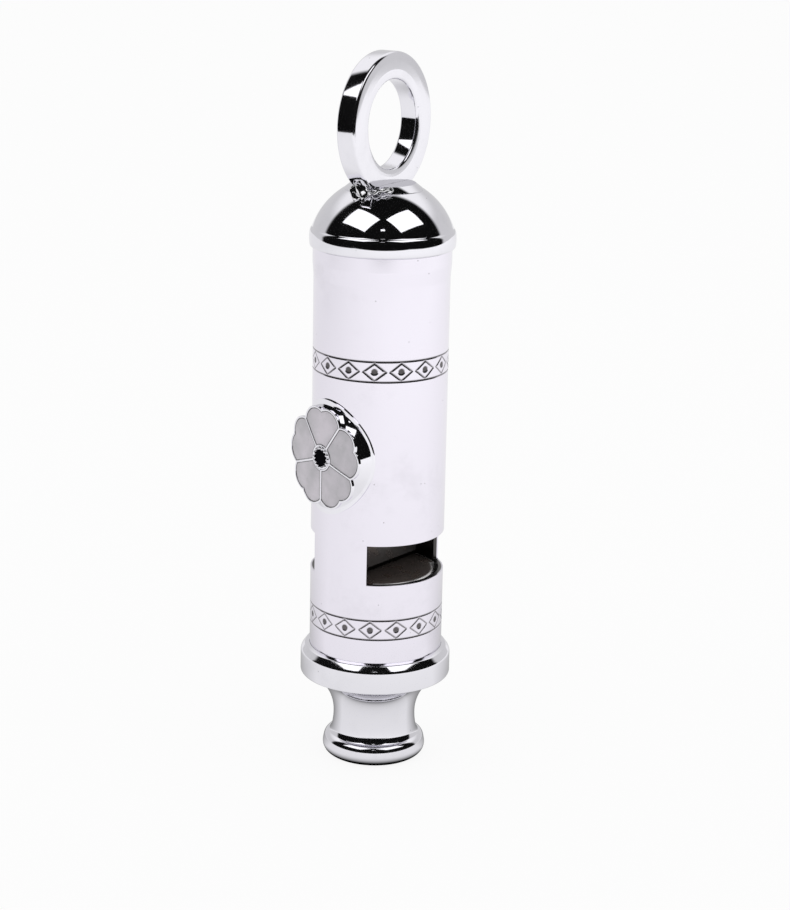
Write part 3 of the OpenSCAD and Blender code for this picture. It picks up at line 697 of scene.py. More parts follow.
class WHISTLE_OT_turn_mouthpiece(bpy.types.Operator):
    """Mouthpiece turned in one piece: lip, neck, flange and the spigot inside the tube"""

    bl_idname = "whistle.turn_mouthpiece"
    bl_label = "Turn Mouthpiece"

    def lip(self, mouth):
        """Centres of the lip's lower and upper round, which share a leaning tangent."""
        low = (mouth.lip_r - mouth.lip_low_r, mouth.lip_low_r)
        top_z = mouth.lip_h - mouth.lip_top_r
        lean_in = (top_z - mouth.lip_low_r) * math.sin(mouth.lip_lean)
        between = (mouth.lip_low_r - mouth.lip_top_r - lean_in) / math.cos(mouth.lip_lean)
        return low, (low[0] + between, top_z)

    def land(self, mouth, side, seat):
        """Centre of the round between the bevel, which touches the side's round, and the land, which
        passes through the seat: it lies its radius inside both of them."""
        normals = np.array([(math.sin(a), math.cos(a)) for a in (mouth.bevel, mouth.land)])
        inside_by = [mouth.side_r - mouth.land_r, -mouth.land_r]
        return np.linalg.solve(normals, (normals * [side, seat]).sum(axis=1) + inside_by)

    def execute(self, context):
        mouth, tube, finish = chosen(context, "mouth", "tube", "finish")
        edge = 0.08 * MM
        seat_clear = 0.02 * MM
        lip_low, lip_top = self.lip(mouth)
        lean = math.degrees(mouth.lip_lean)
        # The fillet's round lies inside the flare's and touches it
        flare = (mouth.neck_r + mouth.flare_r, mouth.neck_low)
        inside_by = mouth.flare_r - mouth.fillet_r
        touch = math.asin((mouth.neck_low - mouth.fillet_z) / inside_by)
        fillet = (flare[0] - inside_by * math.cos(touch), mouth.fillet_z)
        flare_end = 180 + math.degrees(touch)
        lip_end = crossing(lip_top, mouth.lip_top_r, fillet, mouth.fillet_r, 1)
        sweep = (mouth.neck_r + mouth.sweep_r, mouth.neck_high)
        sweep_end = 180 - math.degrees(math.asin((mouth.flange_low - mouth.neck_high) / mouth.sweep_r))
        under = (mouth.flange_r - mouth.flange_low_r, mouth.flange_low + mouth.flange_low_r)
        side = (mouth.flange_r - mouth.side_r, mouth.side_high)
        seat = (tube.end_r - tube.swage + seat_clear, mouth.flange_high)
        land = self.land(mouth, side, seat)
        bevel_end = 90 - math.degrees(mouth.bevel)
        land_end = 90 - math.degrees(mouth.land)
        # The section, from the bore's lower edge up the outside, over the spigot and down the inside
        outline = np.vstack([
            arc((mouth.bore_r + edge, edge), edge, 180, 270, 6),
            arc(lip_low, mouth.lip_low_r, -90, lean, 20),
            arc(lip_top, mouth.lip_top_r, lean, bearing(lip_top, lip_end), 16),
            arc(fillet, mouth.fillet_r, bearing(fillet, lip_end) % 360, flare_end, 12),
            arc(flare, mouth.flare_r, flare_end, 180, 10),
            arc(sweep, mouth.sweep_r, 180, sweep_end, 24),
            arc(under, mouth.flange_low_r, -90, 0, 8),
            arc(side, mouth.side_r, 0, bevel_end, 10),
            arc(land, mouth.land_r, bevel_end, land_end, 8),
            [seat, (seat[0], tube.low_z), (mouth.spigot_r, tube.low_z)],
            [(mouth.spigot_r, mouth.spigot_high), (mouth.air_r, mouth.spigot_high)],
            [(mouth.air_r, mouth.air_low), (mouth.bore_r, mouth.bore_top)],
        ])
        points, faces, sharpness = revolved(outline)
        material = plating("plated_mouthpiece", finish.turned, roughness=0.06, lines=5.0)
        add_piece("turned_mouthpiece", points, faces, material, ["mouthpiece"],
                  {"edge": sharpness})
        return {"FINISHED"}


def engraving(angle, z, tube):
    """How deep the engraved bands are cut at a place on the tube, from 0 to 1. Each band is a row of
    lozenges |u| / half width + |v| / half height = 1 with a dot in the middle of each, between two
    lines; u and v are the distances round and along the tube from the lozenge's middle."""
    line = 0.065 * MM
    dot_r = 0.28 * MM
    repeats = 16
    # Half a lozenge's width as a share of the pitch, and roughly what turns a distance along the
    # tube into one square to a lozenge's side
    lozenge_share = 0.42
    slant = 0.85
    # A cut ends this many widths from its middle, and its slope is one width long
    cut_end = 1.5
    radius = tube.end_r - tube.swage
    pitch = 2 * math.pi * radius / repeats
    half_h = tube.band_h / 2
    inner_h = half_h - 3 * line
    u = np.abs((angle * radius) % pitch - pitch / 2)
    cut = np.zeros(np.broadcast(angle, z).shape)
    for middle in (tube.band_high, tube.band_low):
        v = np.abs(z - middle)
        to_lozenge = np.abs(u / (lozenge_share * pitch) + v / inner_h - 1) * inner_h * slant
        to_dot = np.maximum(np.hypot(u, v) - dot_r, 0)
        to_line = np.abs(v - half_h + line / 2)
        nearest = np.minimum(np.minimum(to_lozenge, to_dot), to_line)
        cut = np.maximum(cut, np.clip(cut_end - nearest / line, 0, 1))
    return cut


class WHISTLE_OT_draw_tube(bpy.types.Operator):
    """Drawn tube with two windows, a swaged upper end and two engraved bands"""

    bl_idname = "whistle.draw_tube"
    bl_label = "Draw Tube"

    def heights(self, tube):
        """Heights of the grid's rows, close together where the bands are, and which of them the
        inside shares."""
        near = 0.12 * MM
        apart = 0.5 * tube.band_h + 0.2 * MM
        close_rows, spaced_rows = 40, 6
        low_band, high_band = [np.linspace(middle - apart, middle + apart, close_rows)
                               for middle in (tube.band_low, tube.band_high)]
        # Rows at both ends of the swage's slope, as shares of the swage's height from the top
        swage = np.array([1.03, 1, 0.97, 0.53, 0.5, 0.47])
        plain_rows = np.concatenate([
            [tube.low_z, tube.low_z + near, low_band[0] - near],
            [tube.window_low - near, tube.window_high + near],
            np.linspace(tube.window_low, tube.window_high, spaced_rows),
            np.linspace(tube.window_high, high_band[0], spaced_rows)[1:-1],
            tube.high_z - tube.swage_h * swage,
            [tube.high_z - near, tube.high_z],
        ])
        z = np.sort(np.concatenate([plain_rows, low_band, high_band]))
        return z, np.flatnonzero(np.isin(z, plain_rows))

    def kept(self, tube, heights, angle):
        """Cells of a grid that lie outside both windows."""
        middle_z = (heights[:-1] + heights[1:]) / 2
        middle_a = angle + math.pi / len(angle)
        off_x = np.abs((middle_a + math.pi / 2) % math.pi - math.pi / 2)
        beside = off_x > tube.window_turn / 2
        above = (middle_z > tube.window_high) | (middle_z < tube.window_low)
        return above[:, None] | beside

    def faces(self, tube, z, shared, angle):
        """The kept cells outside and inside, and walls between the two wherever a kept cell has no
        kept neighbour."""
        columns = len(angle)
        keep = self.kept(tube, z[shared], angle)
        outside = grid_faces(len(z), columns)[self.kept(tube, z, angle).ravel()]
        inside = grid_faces(len(shared), columns, first=len(z) * columns)[keep.ravel()]
        outer = np.arange(len(z) * columns).reshape(len(z), columns)[shared]
        inner = len(z) * columns + np.arange(len(shared) * columns).reshape(len(shared), columns)
        padded = np.pad(keep, ((1, 1), (0, 0)))
        row, left = np.nonzero(padded[:-1] != padded[1:])
        right = (left + 1) % columns
        levels = [outer[row, left], outer[row, right], inner[row, right], inner[row, left]]
        low, column = np.nonzero(keep != np.roll(keep, 1, axis=1))
        sides = [outer[low, column], outer[low + 1, column], inner[low + 1, column], inner[low, column]]
        return np.vstack([outside, inside, np.stack(levels, axis=-1), np.stack(sides, axis=-1)])

    def execute(self, context):
        tube, finish = chosen(context, "tube", "finish")
        angle = full_turn(480)
        z, shared = self.heights(tube)
        plain_r = tube.end_r - tube.swage
        up = np.clip((z - (tube.high_z - tube.swage_h)) / (tube.swage_h / 2), 0, 1)
        cut = engraving(angle, z[:, None], tube)
        # Outside: the plain radius, more along the swage's slope, less where the bands are cut
        outer_r = (plain_r + tube.swage * up)[:, None] - tube.band_cut * cut
        outside = points_round(outer_r, angle, z[:, None])
        inside = points_round(plain_r - tube.wall, angle, z[shared, None])
        used, numbers = np.unique(self.faces(tube, z, shared, angle), return_inverse=True)
        marks = {
            "engraved": np.append(cut, np.zeros(len(inside)))[used],
            "inside": np.repeat([0.0, 1.0], [len(outside), len(inside)])[used],
        }
        material = plating("plated_tube", finish.tube, roughness=0.09, lines=2.5,
                           grime=finish.grime, inside=finish.inside)
        piece = add_piece("windowed_tube", np.vstack([outside, inside])[used], numbers.reshape(-1, 4),
                          material, ["barrel"], marks, sharp=50)
        bevel = piece.modifiers.new("Broken edges", "BEVEL")
        bevel.width = tube.edge_r
        bevel.segments = 2
        bevel.limit_method = "ANGLE"
        bevel.angle_limit = math.radians(60)
        bevel.harden_normals = True
        return {"FINISHED"}


def cut_slot(context, piece, middle, half, turned):
    """Cuts a block, given by its middle and half its sides and turned about the Z axis, out of a
    piece, and keeps the result as the piece's own mesh."""
    corners = middle + half * np.array([(x, y, z) for x in (-1, 1) for y in (-1, 1) for z in (-1, 1)])
    sides = [(0, 1, 3, 2), (4, 6, 7, 5), (0, 4, 5, 1), (2, 3, 7, 6), (0, 2, 6, 4), (1, 5, 7, 3)]
    mesh = bpy.data.meshes.new("slot_block")
    mesh.from_pydata(turned_about_z(corners, turned).tolist(), [], sides)
    block = bpy.data.objects.new("slot_block", mesh)
    context.scene.collection.objects.link(block)
    cut = piece.modifiers.new("Slot", "BOOLEAN")
    cut.operation = "DIFFERENCE"
    cut.solver = "EXACT"
    cut.object = block
    context.view_layer.update()
    whole = piece.data
    piece.data = bpy.data.meshes.new_from_object(piece.evaluated_get(context.evaluated_depsgraph_get()))
    piece.modifiers.clear()
    bpy.data.objects.remove(block)
    bpy.data.meshes.remove(whole)
    piece.data.name = piece.name


class WHISTLE_OT_cut_block(bpy.types.Operator):
    """Windway block: a plug with two shallow curved windways and a slot for the plate"""

    bl_idname = "whistle.cut_block"
    bl_label = "Cut Windway Block"

    def execute(self, context):
        block, tube, finish = chosen(context, "block", "tube", "finish")
        # Angles round the block, with a close pair at each side of a windway
        columns = 240
        half = tube.window_turn / 2 - block.margin
        hair = 0.0005
        steps = np.array([half - hair, half + hair, math.pi - half - hair, math.pi - half + hair])
        even = np.linspace(-math.pi, math.pi, columns, endpoint=False)
        a = np.sort(np.concatenate([even, steps, -steps]))
        in_windway = np.abs((a + math.pi / 2) % math.pi - math.pi / 2) < half
        way = np.where(in_windway, block.radius - block.windway, block.radius)
        start = np.where(in_windway, way - block.lead_in, way)
        top = tube.window_low - block.drop
        low = cad("windway_block", 0)[2]
        rubbed_and_highlight_w = 2.5 * block.edge
        # The surface (radius(a), a, height) of each row of points, from below and over the edge, with
        # how far the edge is painted bright there, partly as rubbed metal and partly as a painted
        # highlight
        rows = [
            (0 * a, low, 0.0),
            (start, low, 0.0),
            (way, low + block.lead_h, 0.0),
            (way, top - block.edge, 1.0),
            (way - block.edge, top, 0.6),
            (way - rubbed_and_highlight_w, top, 0.0),
            (0 * a, top, 0.0),
        ]
        radius, height, rubbed_and_highlight = [np.array(parts) for parts in zip(*rows)]
        points = points_round(radius, a, height[:, None])
        metal = worn_inner_metal("worn_block", finish.block, top)
        piece = add_piece("slotted_block", points, grid_faces(len(rows), len(a)), metal,
                          ["windway_block"], {"edge": np.repeat(rubbed_and_highlight, len(a))}, sharp=20)
        slot_half = np.array([block.slot_w / 2, 2 * block.radius, block.slot_h])
        cut_slot(context, piece, np.array([0, 0, top]), slot_half, 0)
        return {"FINISHED"}


class WHISTLE_OT_press_cap(bpy.types.Operator):
    """Pressed cap with its rounded rim and dome, and the slotted collar on top of it"""

    bl_idname = "whistle.press_cap"
    bl_label = "Press Cap"

    def cap_outline(self, cap, low):
        """The cap's section: spigot, rim, dome and hollow. low is the height of the rim's underside."""
        dome = (0, low - cap.dome_drop)
        bulge = math.degrees(cap.bulge)
        side_low = cap.rim_low_r + (cap.bulge_r - cap.rim_low_r) * math.sin(cap.bulge)
        side = np.array([cap.rim_r - cap.bulge_r, low + side_low])
        lean = np.array([math.cos(cap.bulge), math.sin(cap.bulge)])
        rim_top = side + (cap.bulge_r - cap.rim_top_r) * lean
        rim_low = side + (cap.bulge_r - cap.rim_low_r) * lean * [1, -1]
        meet = crossing(rim_top, cap.rim_top_r, dome, cap.dome_r, -1)
        seat_angle = math.degrees(math.acos(cap.seat_r / cap.dome_r))
        seat_z = dome[1] + math.sqrt(cap.dome_r**2 - cap.seat_r**2)
        inner_r = cap.dome_r - cap.wall
        bore = cap.spigot_r - cap.spigot_wall
        ceiling = seat_z - cap.wall
        ceiling_end = math.degrees(math.asin((ceiling - dome[1]) / inner_r))
        spigot_low = cad("end_cap", 0)[2]
        return np.vstack([
            [(cap.spigot_r, spigot_low), (cap.spigot_r, low)],
            arc(rim_low, cap.rim_low_r, -90, -bulge, 9),
            arc(side, cap.bulge_r, -bulge, bulge, 14),
            arc(rim_top, cap.rim_top_r, bulge, bearing(rim_top, meet), 14),
            arc(dome, cap.dome_r, bearing(dome, meet), seat_angle, 40),
            [(cap.hole_r, seat_z), (cap.hole_r, ceiling)],
            arc(dome, inner_r, ceiling_end, math.degrees(math.acos(bore / inner_r)), 12),
            [(bore, spigot_low)],
        ]), seat_z

    def execute(self, context):
        cap, ring, tube, finish = chosen(context, "cap", "ring", "tube", "finish")
        outline, seat_z = self.cap_outline(cap, tube.high_z)
        points, faces, sharpness = revolved(outline)
        material = plating("plated_cap", finish.turned, roughness=0.05, lines=5.0)
        add_piece("domed_cap", points, faces, material, ["end_cap"],
                  {"edge": sharpness}, sharp=55)

        foot_round, top_round = 0.03 * MM, 0.12 * MM
        top_z = seat_z + cap.collar_h
        corners = [(cap.hole_r, seat_z), (cap.seat_r, seat_z), (cap.collar_r, top_z), (cap.hole_r, top_z)]
        points, faces, sharpness = revolved(rounded(corners, [0, foot_round, top_round, 0]), columns=192)
        piece = add_piece("slotted_collar", points, faces, material, ["ring_collar"],
                          {"edge": sharpness})
        # The ring's foot stands in a slot across the collar
        slot_clear = 0.02 * MM
        half = np.array([ring.thickness / 2 + slot_clear, 2 * cap.seat_r, cap.collar_h])
        middle = np.array([0, 0, seat_z + cap.slot_floor + cap.collar_h])
        cut_slot(context, piece, middle, half, ring.turned)
        return {"FINISHED"}


class WHISTLE_OT_form_ring(bpy.types.Operator):
    """Ring that stands in the collar, with its peg through the cap, and the solder at its foot"""

    bl_idname = "whistle.form_ring"
    bl_label = "Form Ring"

    def ring(self, ring, centre_z, floor_z):
        """A rounded rectangle turned about the ring's axis, (rho cos a, rho sin a) in the upright
        plane; what would lie below the slot's floor is laid flat on it."""
        half = ring.thickness / 2
        inner = ring.outer_r - ring.band
        corners = [(inner, ring.bevel_t - half), (inner + ring.bevel_w, -half), (ring.outer_r, -half)]
        corners += [(rho, -x) for rho, x in reversed(corners)]
        rounds = [ring.edge_r, ring.bevel_r, ring.edge_r]
        section = rounded(corners, rounds + rounds[::-1], steps=9)
        # Each stretch gets a point in its middle
        middles = section + (np.roll(section, -1, axis=0) - section) / 2
        section = without_repeats(np.stack([section, middles], axis=1).reshape(-1, 2))
        a = full_turn(288)
        rho, x = section[:, 0, None], section[:, 1, None]
        points = points_at(x, rho * np.cos(a), np.maximum(centre_z + rho * np.sin(a), floor_z))
        edge = np.repeat(edge_share(section), len(a))
        return points, grid_faces(len(section), len(a), close_rows=True), edge

    def solder(self, ring, cap, seat_z):
        """A thick bead along the collar's foot: a circle of radius w(s) carried along the foot's
        circle, where w falls from the lump at the ring's foot to the run, is uneven by a few sine
        waves, and swells to a drop on the way. Points inside the dome or the collar are moved out
        to their surface."""
        rows, columns = 150, 40
        along_run = np.linspace(0, 1, rows)[:, None]
        around = full_turn(columns)
        # The bead starts this angle before the ring's plane
        before = 0.24
        start = -math.pi / 2 - before
        foot = start + (ring.run_turn + before) * along_run
        way = (foot - start) * cap.seat_r
        lump_at, lump_w = 1.0 * MM, 0.95 * MM
        lump = ring.lump_r * np.exp(-(((way - lump_at) / lump_w) ** 4))
        drop_at, drop_w, drop_h = 0.6, 0.06, 0.3 * ring.run_r
        drop = drop_h * np.exp(-(((along_run - drop_at) / drop_w) ** 2))
        uneven = 1 + 0.3 * np.sin(17 * along_run + 1.0) * np.sin(2 * around + 9 * along_run)
        uneven = uneven + 0.2 * np.sin(31 * along_run + np.sin(around)) * np.sin(3 * around)
        closed_ends = np.sqrt(np.clip(1 - (2 * along_run - 1) ** 24, 0, 1))
        w = (np.maximum(lump, ring.run_r) * uneven + drop) * closed_ends
        out, lift = 0.12 * MM, 0.05 * MM
        # The run climbs the collar, and the lump is heaped up
        climb = ring.run_rise * np.clip(2 * along_run - 0.6, 0, 1)
        heap = 0.35 * np.maximum(lump - ring.run_r, 0) * np.maximum(np.sin(around), 0)
        z = seat_z + lift + climb + w * np.sin(around) + heap
        points = points_round(cap.seat_r + out + w * np.cos(around), foot, z)
        return self.moved_out(points, cap, seat_z), grid_faces(rows, columns)

    def moved_out(self, points, cap, seat_z):
        """Points nearer to the dome's centre than its surface are moved straight out to it, and
        points inside the collar's cone straight out to the cone."""
        clear = 0.01 * MM
        centre = np.array([0, 0, seat_z - math.sqrt(cap.dome_r**2 - cap.seat_r**2)])
        away = points - centre
        reach = np.linalg.norm(away, axis=1, keepdims=True)
        points = centre + away * np.maximum(1, (cap.dome_r + clear) / reach)
        x, y, z = points.T
        up = np.clip((z - seat_z) / cap.collar_h, 0, 1)
        cone = cap.seat_r + (cap.collar_r - cap.seat_r) * up + clear
        r = np.hypot(x, y)
        beside = (z > seat_z - clear) & (z < seat_z + cap.collar_h + clear)
        grow = np.where(beside, np.maximum(1, cone / r), 1)
        return np.stack([x * grow, y * grow, z], axis=1)

    def far_lump(self, ring, cap, seat_z):
        """Solder at the other end of the ring's foot: a ball whose radius is uneven by a few waves,
        with its centre a little outside the collar's foot and sunk into the dome."""
        rows, columns = 30, 48
        out, sunk = 0.1 * MM, 0.35 * MM
        polar = np.linspace(0, math.pi, rows)[:, None]
        around = full_turn(columns)
        lump_share = 0.95
        w = lump_share * ring.lump_r * (1 + 0.08 * np.sin(3 * around + 1) * np.sin(polar) ** 2)
        points = points_at(w * np.sin(polar) * np.cos(around),
                           cap.seat_r + out + w * np.sin(polar) * np.sin(around),
                           seat_z - sunk + w * np.cos(polar))
        return self.moved_out(points, cap, seat_z), grid_faces(rows, columns)

    def execute(self, context):
        ring, cap, finish = chosen(context, "ring", "cap", "finish")
        seat_z = cad("ring_collar", 0)[2]
        centre_z = cad("bow_ring", 1)[2] - ring.outer_r
        floor_z = seat_z + cap.slot_floor
        points, faces, edge = self.ring(ring, centre_z, floor_z)
        ceiling = seat_z - cap.wall
        peg_in_ring = 0.3 * MM
        at_axis = 1e-6 * MM
        peg, peg_faces, peg_edge = revolved([
            (at_axis, ceiling - ring.head_h),
            (ring.head_r, ceiling - ring.head_h),
            (ring.head_r, ceiling),
            (ring.peg_r, ceiling),
            (ring.peg_r, floor_z + peg_in_ring),
            (at_axis, floor_z + peg_in_ring),
        ], columns=64)
        points, faces = joined((points, faces), (peg, peg_faces))
        material = plating("plated_ring", finish.ring, roughness=0.07, lines=4.0,
                           centre=(0, 0, centre_z), angles=(0, math.pi / 2, 0))
        add_piece("standing_ring", turned_about_z(points, ring.turned), faces, material,
                  ["bow_ring"], {"edge": np.concatenate([edge, peg_edge])})

        points, faces = joined(self.solder(ring, cap, seat_z), self.far_lump(ring, cap, seat_z))
        metal = frozen_solder("frozen_solder", finish.solder)
        add_piece("run_out_solder", turned_about_z(points, ring.turned), faces, metal,
                  ["ring_solder"], sharp=60)
        return {"FINISHED"}


class WHISTLE_OT_press_saddle(bpy.types.Operator):
    """Saddle under the flower, pressed to the tube's curve"""

    bl_idname = "whistle.press_saddle"
    bl_label = "Press Saddle"

    def execute(self, context):
        badge, finish = chosen(context, "badge", "finish")
        columns = 240
        cos, sin = np.cos(full_turn(columns)), np.sin(full_turn(columns))
        edge = 0.06 * MM
        flat_rows, round_rows, ramp_rows, brim_rows, under_rows = 12, 5, 25, 6, 14
        # The top, bent with the flower, then a small round at its edge
        top_r = (badge.top_r - edge) * np.linspace(0, 1, flat_rows)[:, None]
        top = points_at(top_r * cos, top_r * sin, badge.top_z - bent(top_r * cos, badge))
        round_a = np.linspace(0, math.pi / 2, round_rows + 1)[1:, None]
        round_r = badge.top_r - edge + edge * np.sin(round_a)
        round_z = badge.top_z - edge * (1 - np.cos(round_a)) - bent(round_r * cos, badge)
        rounding = points_at(round_r * cos, round_r * sin, round_z)

        def brim(out):
            """Points on the brim at a share of the way from the top's edge out to the foot's edge."""
            x = (badge.top_r + out * (badge.foot_w - badge.top_r)) * cos
            y = (badge.top_r + out * (badge.foot_h - badge.top_r)) * sin
            return points_at(x, y, np.sqrt(badge.under_r**2 - x**2) + badge.foot_t)

        # Ramp: a quadratic curve from the top's edge down to the brim, then the brim on the tube
        t = np.linspace(0, 1, ramp_rows + 1)[1:, None, None]
        start_z = badge.top_z - edge - bent(badge.top_r * cos, badge)
        start = points_at(badge.top_r * cos, badge.top_r * sin, start_z)
        end = brim(badge.ramp)
        knee = np.column_stack([start[:, :2], np.minimum(end[:, 2], start_z)])
        knee += badge.fill * ((start + end) / 2 - knee)
        ramp = (1 - t) ** 2 * start + 2 * t * (1 - t) * knee + t**2 * end
        foot = brim(np.linspace(badge.ramp, 1, brim_rows + 1)[1:, None])
        # Underside: the tube's own curve, drawn in from the foot's edge to the middle
        inward = np.linspace(1, 0, under_rows)[:, None]
        under_x = inward * badge.foot_w * cos
        under = points_at(under_x, inward * badge.foot_h * sin, np.sqrt(badge.under_r**2 - under_x**2))
        points = np.vstack([top, rounding, ramp.reshape(-1, 3), foot, under])
        rows = len(points) // columns
        # The top's edge is rubbed
        sharpness = np.zeros((rows, columns))
        sharpness[flat_rows - 1:flat_rows + round_rows] = 1
        material = plating("plated_saddle", finish.badge, roughness=0.06, lines=3.0)
        add_piece("badge_saddle_skin", on_badge(points, badge, flower=False), grid_faces(rows, columns),
                  material, ["badge_saddle"], {"edge": sharpness.ravel()}, sharp=50)
        return {"FINISHED"}


def petal_middle(badge):
    """Distance of a petal's middle from the flower's."""
    return badge.start_r + 0.5 * (badge.reach + badge.lobe_r - badge.start_r)


def petal_reach(badge, way, grow, gap, inner_r):
    """Distance from a petal's middle to its outline in the directions way: the nearest of the two
    spoke lines (moved in by gap), the inner circle, the sides, and the far side of the tip's two
    lobes (made larger by grow). Which limit holds where is given too: 0 and 1 for the spokes."""
    half = math.pi / badge.petals
    centre = petal_middle(badge)
    cos, sin = np.cos(way), np.sin(way)

    def line(nx, ny, offset):
        """Distance to the line nx * x + ny * y = offset, where the direction goes towards it."""
        slope = nx * cos + ny * sin
        return np.where(slope > 1e-9, (offset - nx * centre) / np.maximum(slope, 1e-9), np.inf)

    def circle(x, y, radius, side):
        """Distance to a circle's near (-1) or far (1) side, where the direction meets it."""
        ahead = cos * (x - centre) + sin * y
        under = ahead**2 - ((x - centre) ** 2 + y**2 - radius**2)
        met = ahead + side * np.sqrt(np.maximum(under, 0))
        return np.where((under > 0) & (met > 0), met, np.nan)

    lobe = badge.lobe_r + grow
    tips = np.fmax(*[circle(badge.reach, y, lobe, 1) for y in (badge.spread, -badge.spread)])
    start = circle(0, 0, inner_r, -1)
    limits = np.stack([
        line(-math.sin(half), math.cos(half), -gap),
        line(-math.sin(half), -math.cos(half), -gap),
        np.where(cos < 0, np.nan_to_num(start, nan=np.inf), np.inf),
        line(0, 1, badge.spread + lobe),
        line(0, -1, badge.spread + lobe),
        np.where(cos > 0, np.nan_to_num(tips, nan=np.inf), np.inf),
    ])
    return limits.min(axis=0), limits.argmin(axis=0)


def petal_points(badge, number, way, reach, z):
    """Points at given distances from a petal's middle, turned to the petal's place in the flower."""
    points = points_at(petal_middle(badge) + reach * np.cos(way), reach * np.sin(way), z)
    return turned_about_z(points, math.pi / 2 + number * 2 * math.pi / badge.petals)


class WHISTLE_OT_stamp_flower(bpy.types.Operator):
    """Metal flower with a cell for each petal, and the beaded boss in its middle"""

    bl_idname = "whistle.stamp_flower"
    bl_label = "Stamp Flower"

    def petal(self, badge, number):
        """One petal's share of the plate, as rows of points from the cell's floor over the rounded
        border to the underside. The rows meet the next petal's along the spokes' middle lines."""
        columns = 360
        way = full_turn(columns)
        edge = 0.05 * MM
        # The petals' metal reaches this far in past the cells' inner ends, nearly to the boss
        reach_in = 0.06 * MM
        top, low = badge.flower_z, badge.top_z
        floor = top - badge.cell_cut
        cell, _ = petal_reach(badge, way, 0, badge.border / 2, badge.start_r + badge.border / 2)
        out, limit = petal_reach(badge, way, badge.border, 0, badge.start_r - reach_in)
        free = limit > 1
        bend = np.linspace(0, math.pi / 2, 5)
        rows = [(0 * cell, floor), (cell, floor), (cell, top - edge)]
        rows += [(cell + edge * (1 - math.cos(b)), top - edge * (1 - math.sin(b))) for b in bend[1:]]
        rows += [(out - free * edge * (1 - math.sin(b)), top - free * edge * (1 - math.cos(b)))
                 for b in bend]
        wall = len(rows) - 1
        rows += [(out, low), (0 * out, low)]
        reach, height = np.array([np.broadcast_arrays(*row) for row in rows]).transpose(1, 0, 2)
        # Along a spoke's middle line the next petal carries on, so there is no wall there
        shared = (limit < 2) & (np.roll(limit, -1) < 2)
        keep = np.ones((len(rows) - 1, columns), bool)
        keep[wall] = ~shared
        faces = grid_faces(len(rows), columns)[keep.ravel()]
        return petal_points(badge, number, way, reach, height), faces

    def boss(self, badge):
        """The middle: a round plug with the centre's cell, and half beads z = sqrt(r*r - d*d) on a
        circle round it, as one surface over radius and angle."""
        per_bead, top_rows = 16, 20
        columns = per_bead * badge.beads
        a = full_turn(columns)
        # The boss ends a hair before the petals' metal
        before = 0.065 * MM
        outer = badge.start_r - before
        sunk_share = 0.55
        beads_r = badge.centre_r + sunk_share * badge.bead_r
        r = np.linspace(badge.centre_r, outer, top_rows)[:, None]
        spacing = 2 * math.pi / badge.beads
        off = (a + spacing / 2) % spacing - spacing / 2
        away = np.hypot(r - beads_r, beads_r * off)
        bead = np.sqrt(np.maximum(badge.bead_r**2 - away**2, 0))
        floor = np.full((2, columns), badge.flower_z - badge.cell_cut)
        under = np.full((2, columns), badge.top_z)
        radii = np.vstack([[[0], [badge.centre_r]], r, [[outer], [0]]])
        points = points_round(radii, a, np.vstack([floor, badge.flower_z + bead, under]))
        return points, grid_faces(len(radii), columns)

    def execute(self, context):
        badge, finish = chosen(context, "badge", "finish")
        shapes = [self.petal(badge, number) for number in range(badge.petals)]
        points, faces = joined(*shapes, self.boss(badge))
        material = plating("plated_flower", finish.badge, roughness=0.08, lines=8.0)
        add_piece("flower_frame", on_badge(points, badge), faces, material,
                  ["badge_flower"], sharp=50)
        return {"FINISHED"}


class WHISTLE_OT_fire_enamel(bpy.types.Operator):
    """Enamel in the petals' cells and in the flower's centre"""

    bl_idname = "whistle.fire_enamel"
    bl_label = "Fire Enamel"

    def profile(self, badge, rows=16):
        """Shares of the way out to the edge and heights: a crowned top, crown * (1 - s^4), that ends
        in a small round, and a flat bottom."""
        s = np.sin(np.linspace(0, math.pi / 2, rows))
        # Where the small round starts
        round_start = 0.985
        s[-2] = round_start
        edge = badge.flower_z - badge.enamel_drop
        floor = badge.flower_z - badge.cell_cut
        top = edge + badge.enamel_crown * (1 - s**4)
        return np.append(s, [1, 0]), np.append(top, [floor, floor])

    def execute(self, context):
        badge, finish = chosen(context, "badge", "finish")
        grey = fired_enamel("grey_enamel", finish.enamel, finish.enamel_deep, coat=0.5, shine=0.5)
        dark = fired_enamel("dark_enamel", finish.dark, finish.dark, coat=0.0, shine=0.0)
        s, z = self.profile(badge)
        way = full_turn(240)
        faces = grid_faces(len(s), len(way))
        rim = {"rim": np.repeat(np.append(s[:-2], [1, 1]), len(way))}
        gap = 0.02 * MM
        inset = badge.border / 2 + gap
        reach, _ = petal_reach(badge, way, -gap, inset, badge.start_r + inset)
        for number in range(badge.petals):
            points = petal_points(badge, number, way, s[:, None] * reach, z[:, None])
            add_piece(f"petal_glaze_{number + 1}", on_badge(points, badge), faces, grey,
                      [f"petal_enamel_{number + 1}"], rim)
        disc = points_round(s[:, None] * (badge.centre_r - gap), way, z[:, None])
        add_piece("centre_glaze", on_badge(disc, badge), faces, dark,
                  ["centre_enamel"], rim)
        return {"FINISHED"}


class WHISTLE_OT_finish_inner(bpy.types.Operator):
    """Finish of the divider plate and the chambers' stops"""

    bl_idname = "whistle.finish_inner"
    bl_label = "Finish Inner Pieces"

    def execute(self, context):
        finish, block, tube = chosen(context, "finish", "block", "tube")
        metal = worn_inner_metal("worn_plate", finish.plate, tube.window_low - block.drop)
        for name in ("divider_plate", "short_chamber_stop", "long_chamber_stop"):
            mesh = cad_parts[name].data
            mesh.materials.clear()
            mesh.materials.append(metal)
        return {"FINISHED"}


# Studio


WHITE = (1, 1, 1, 1)
UP = np.array([0, 0, 1])


def only_seen_in_metal(sheet):
    """Shows a sheet to reflections only: no camera, shade or shadow of it."""
    for ray in ("camera", "diffuse", "transmission", "volume_scatter", "shadow"):
        setattr(sheet, "visible_" + ray, False)


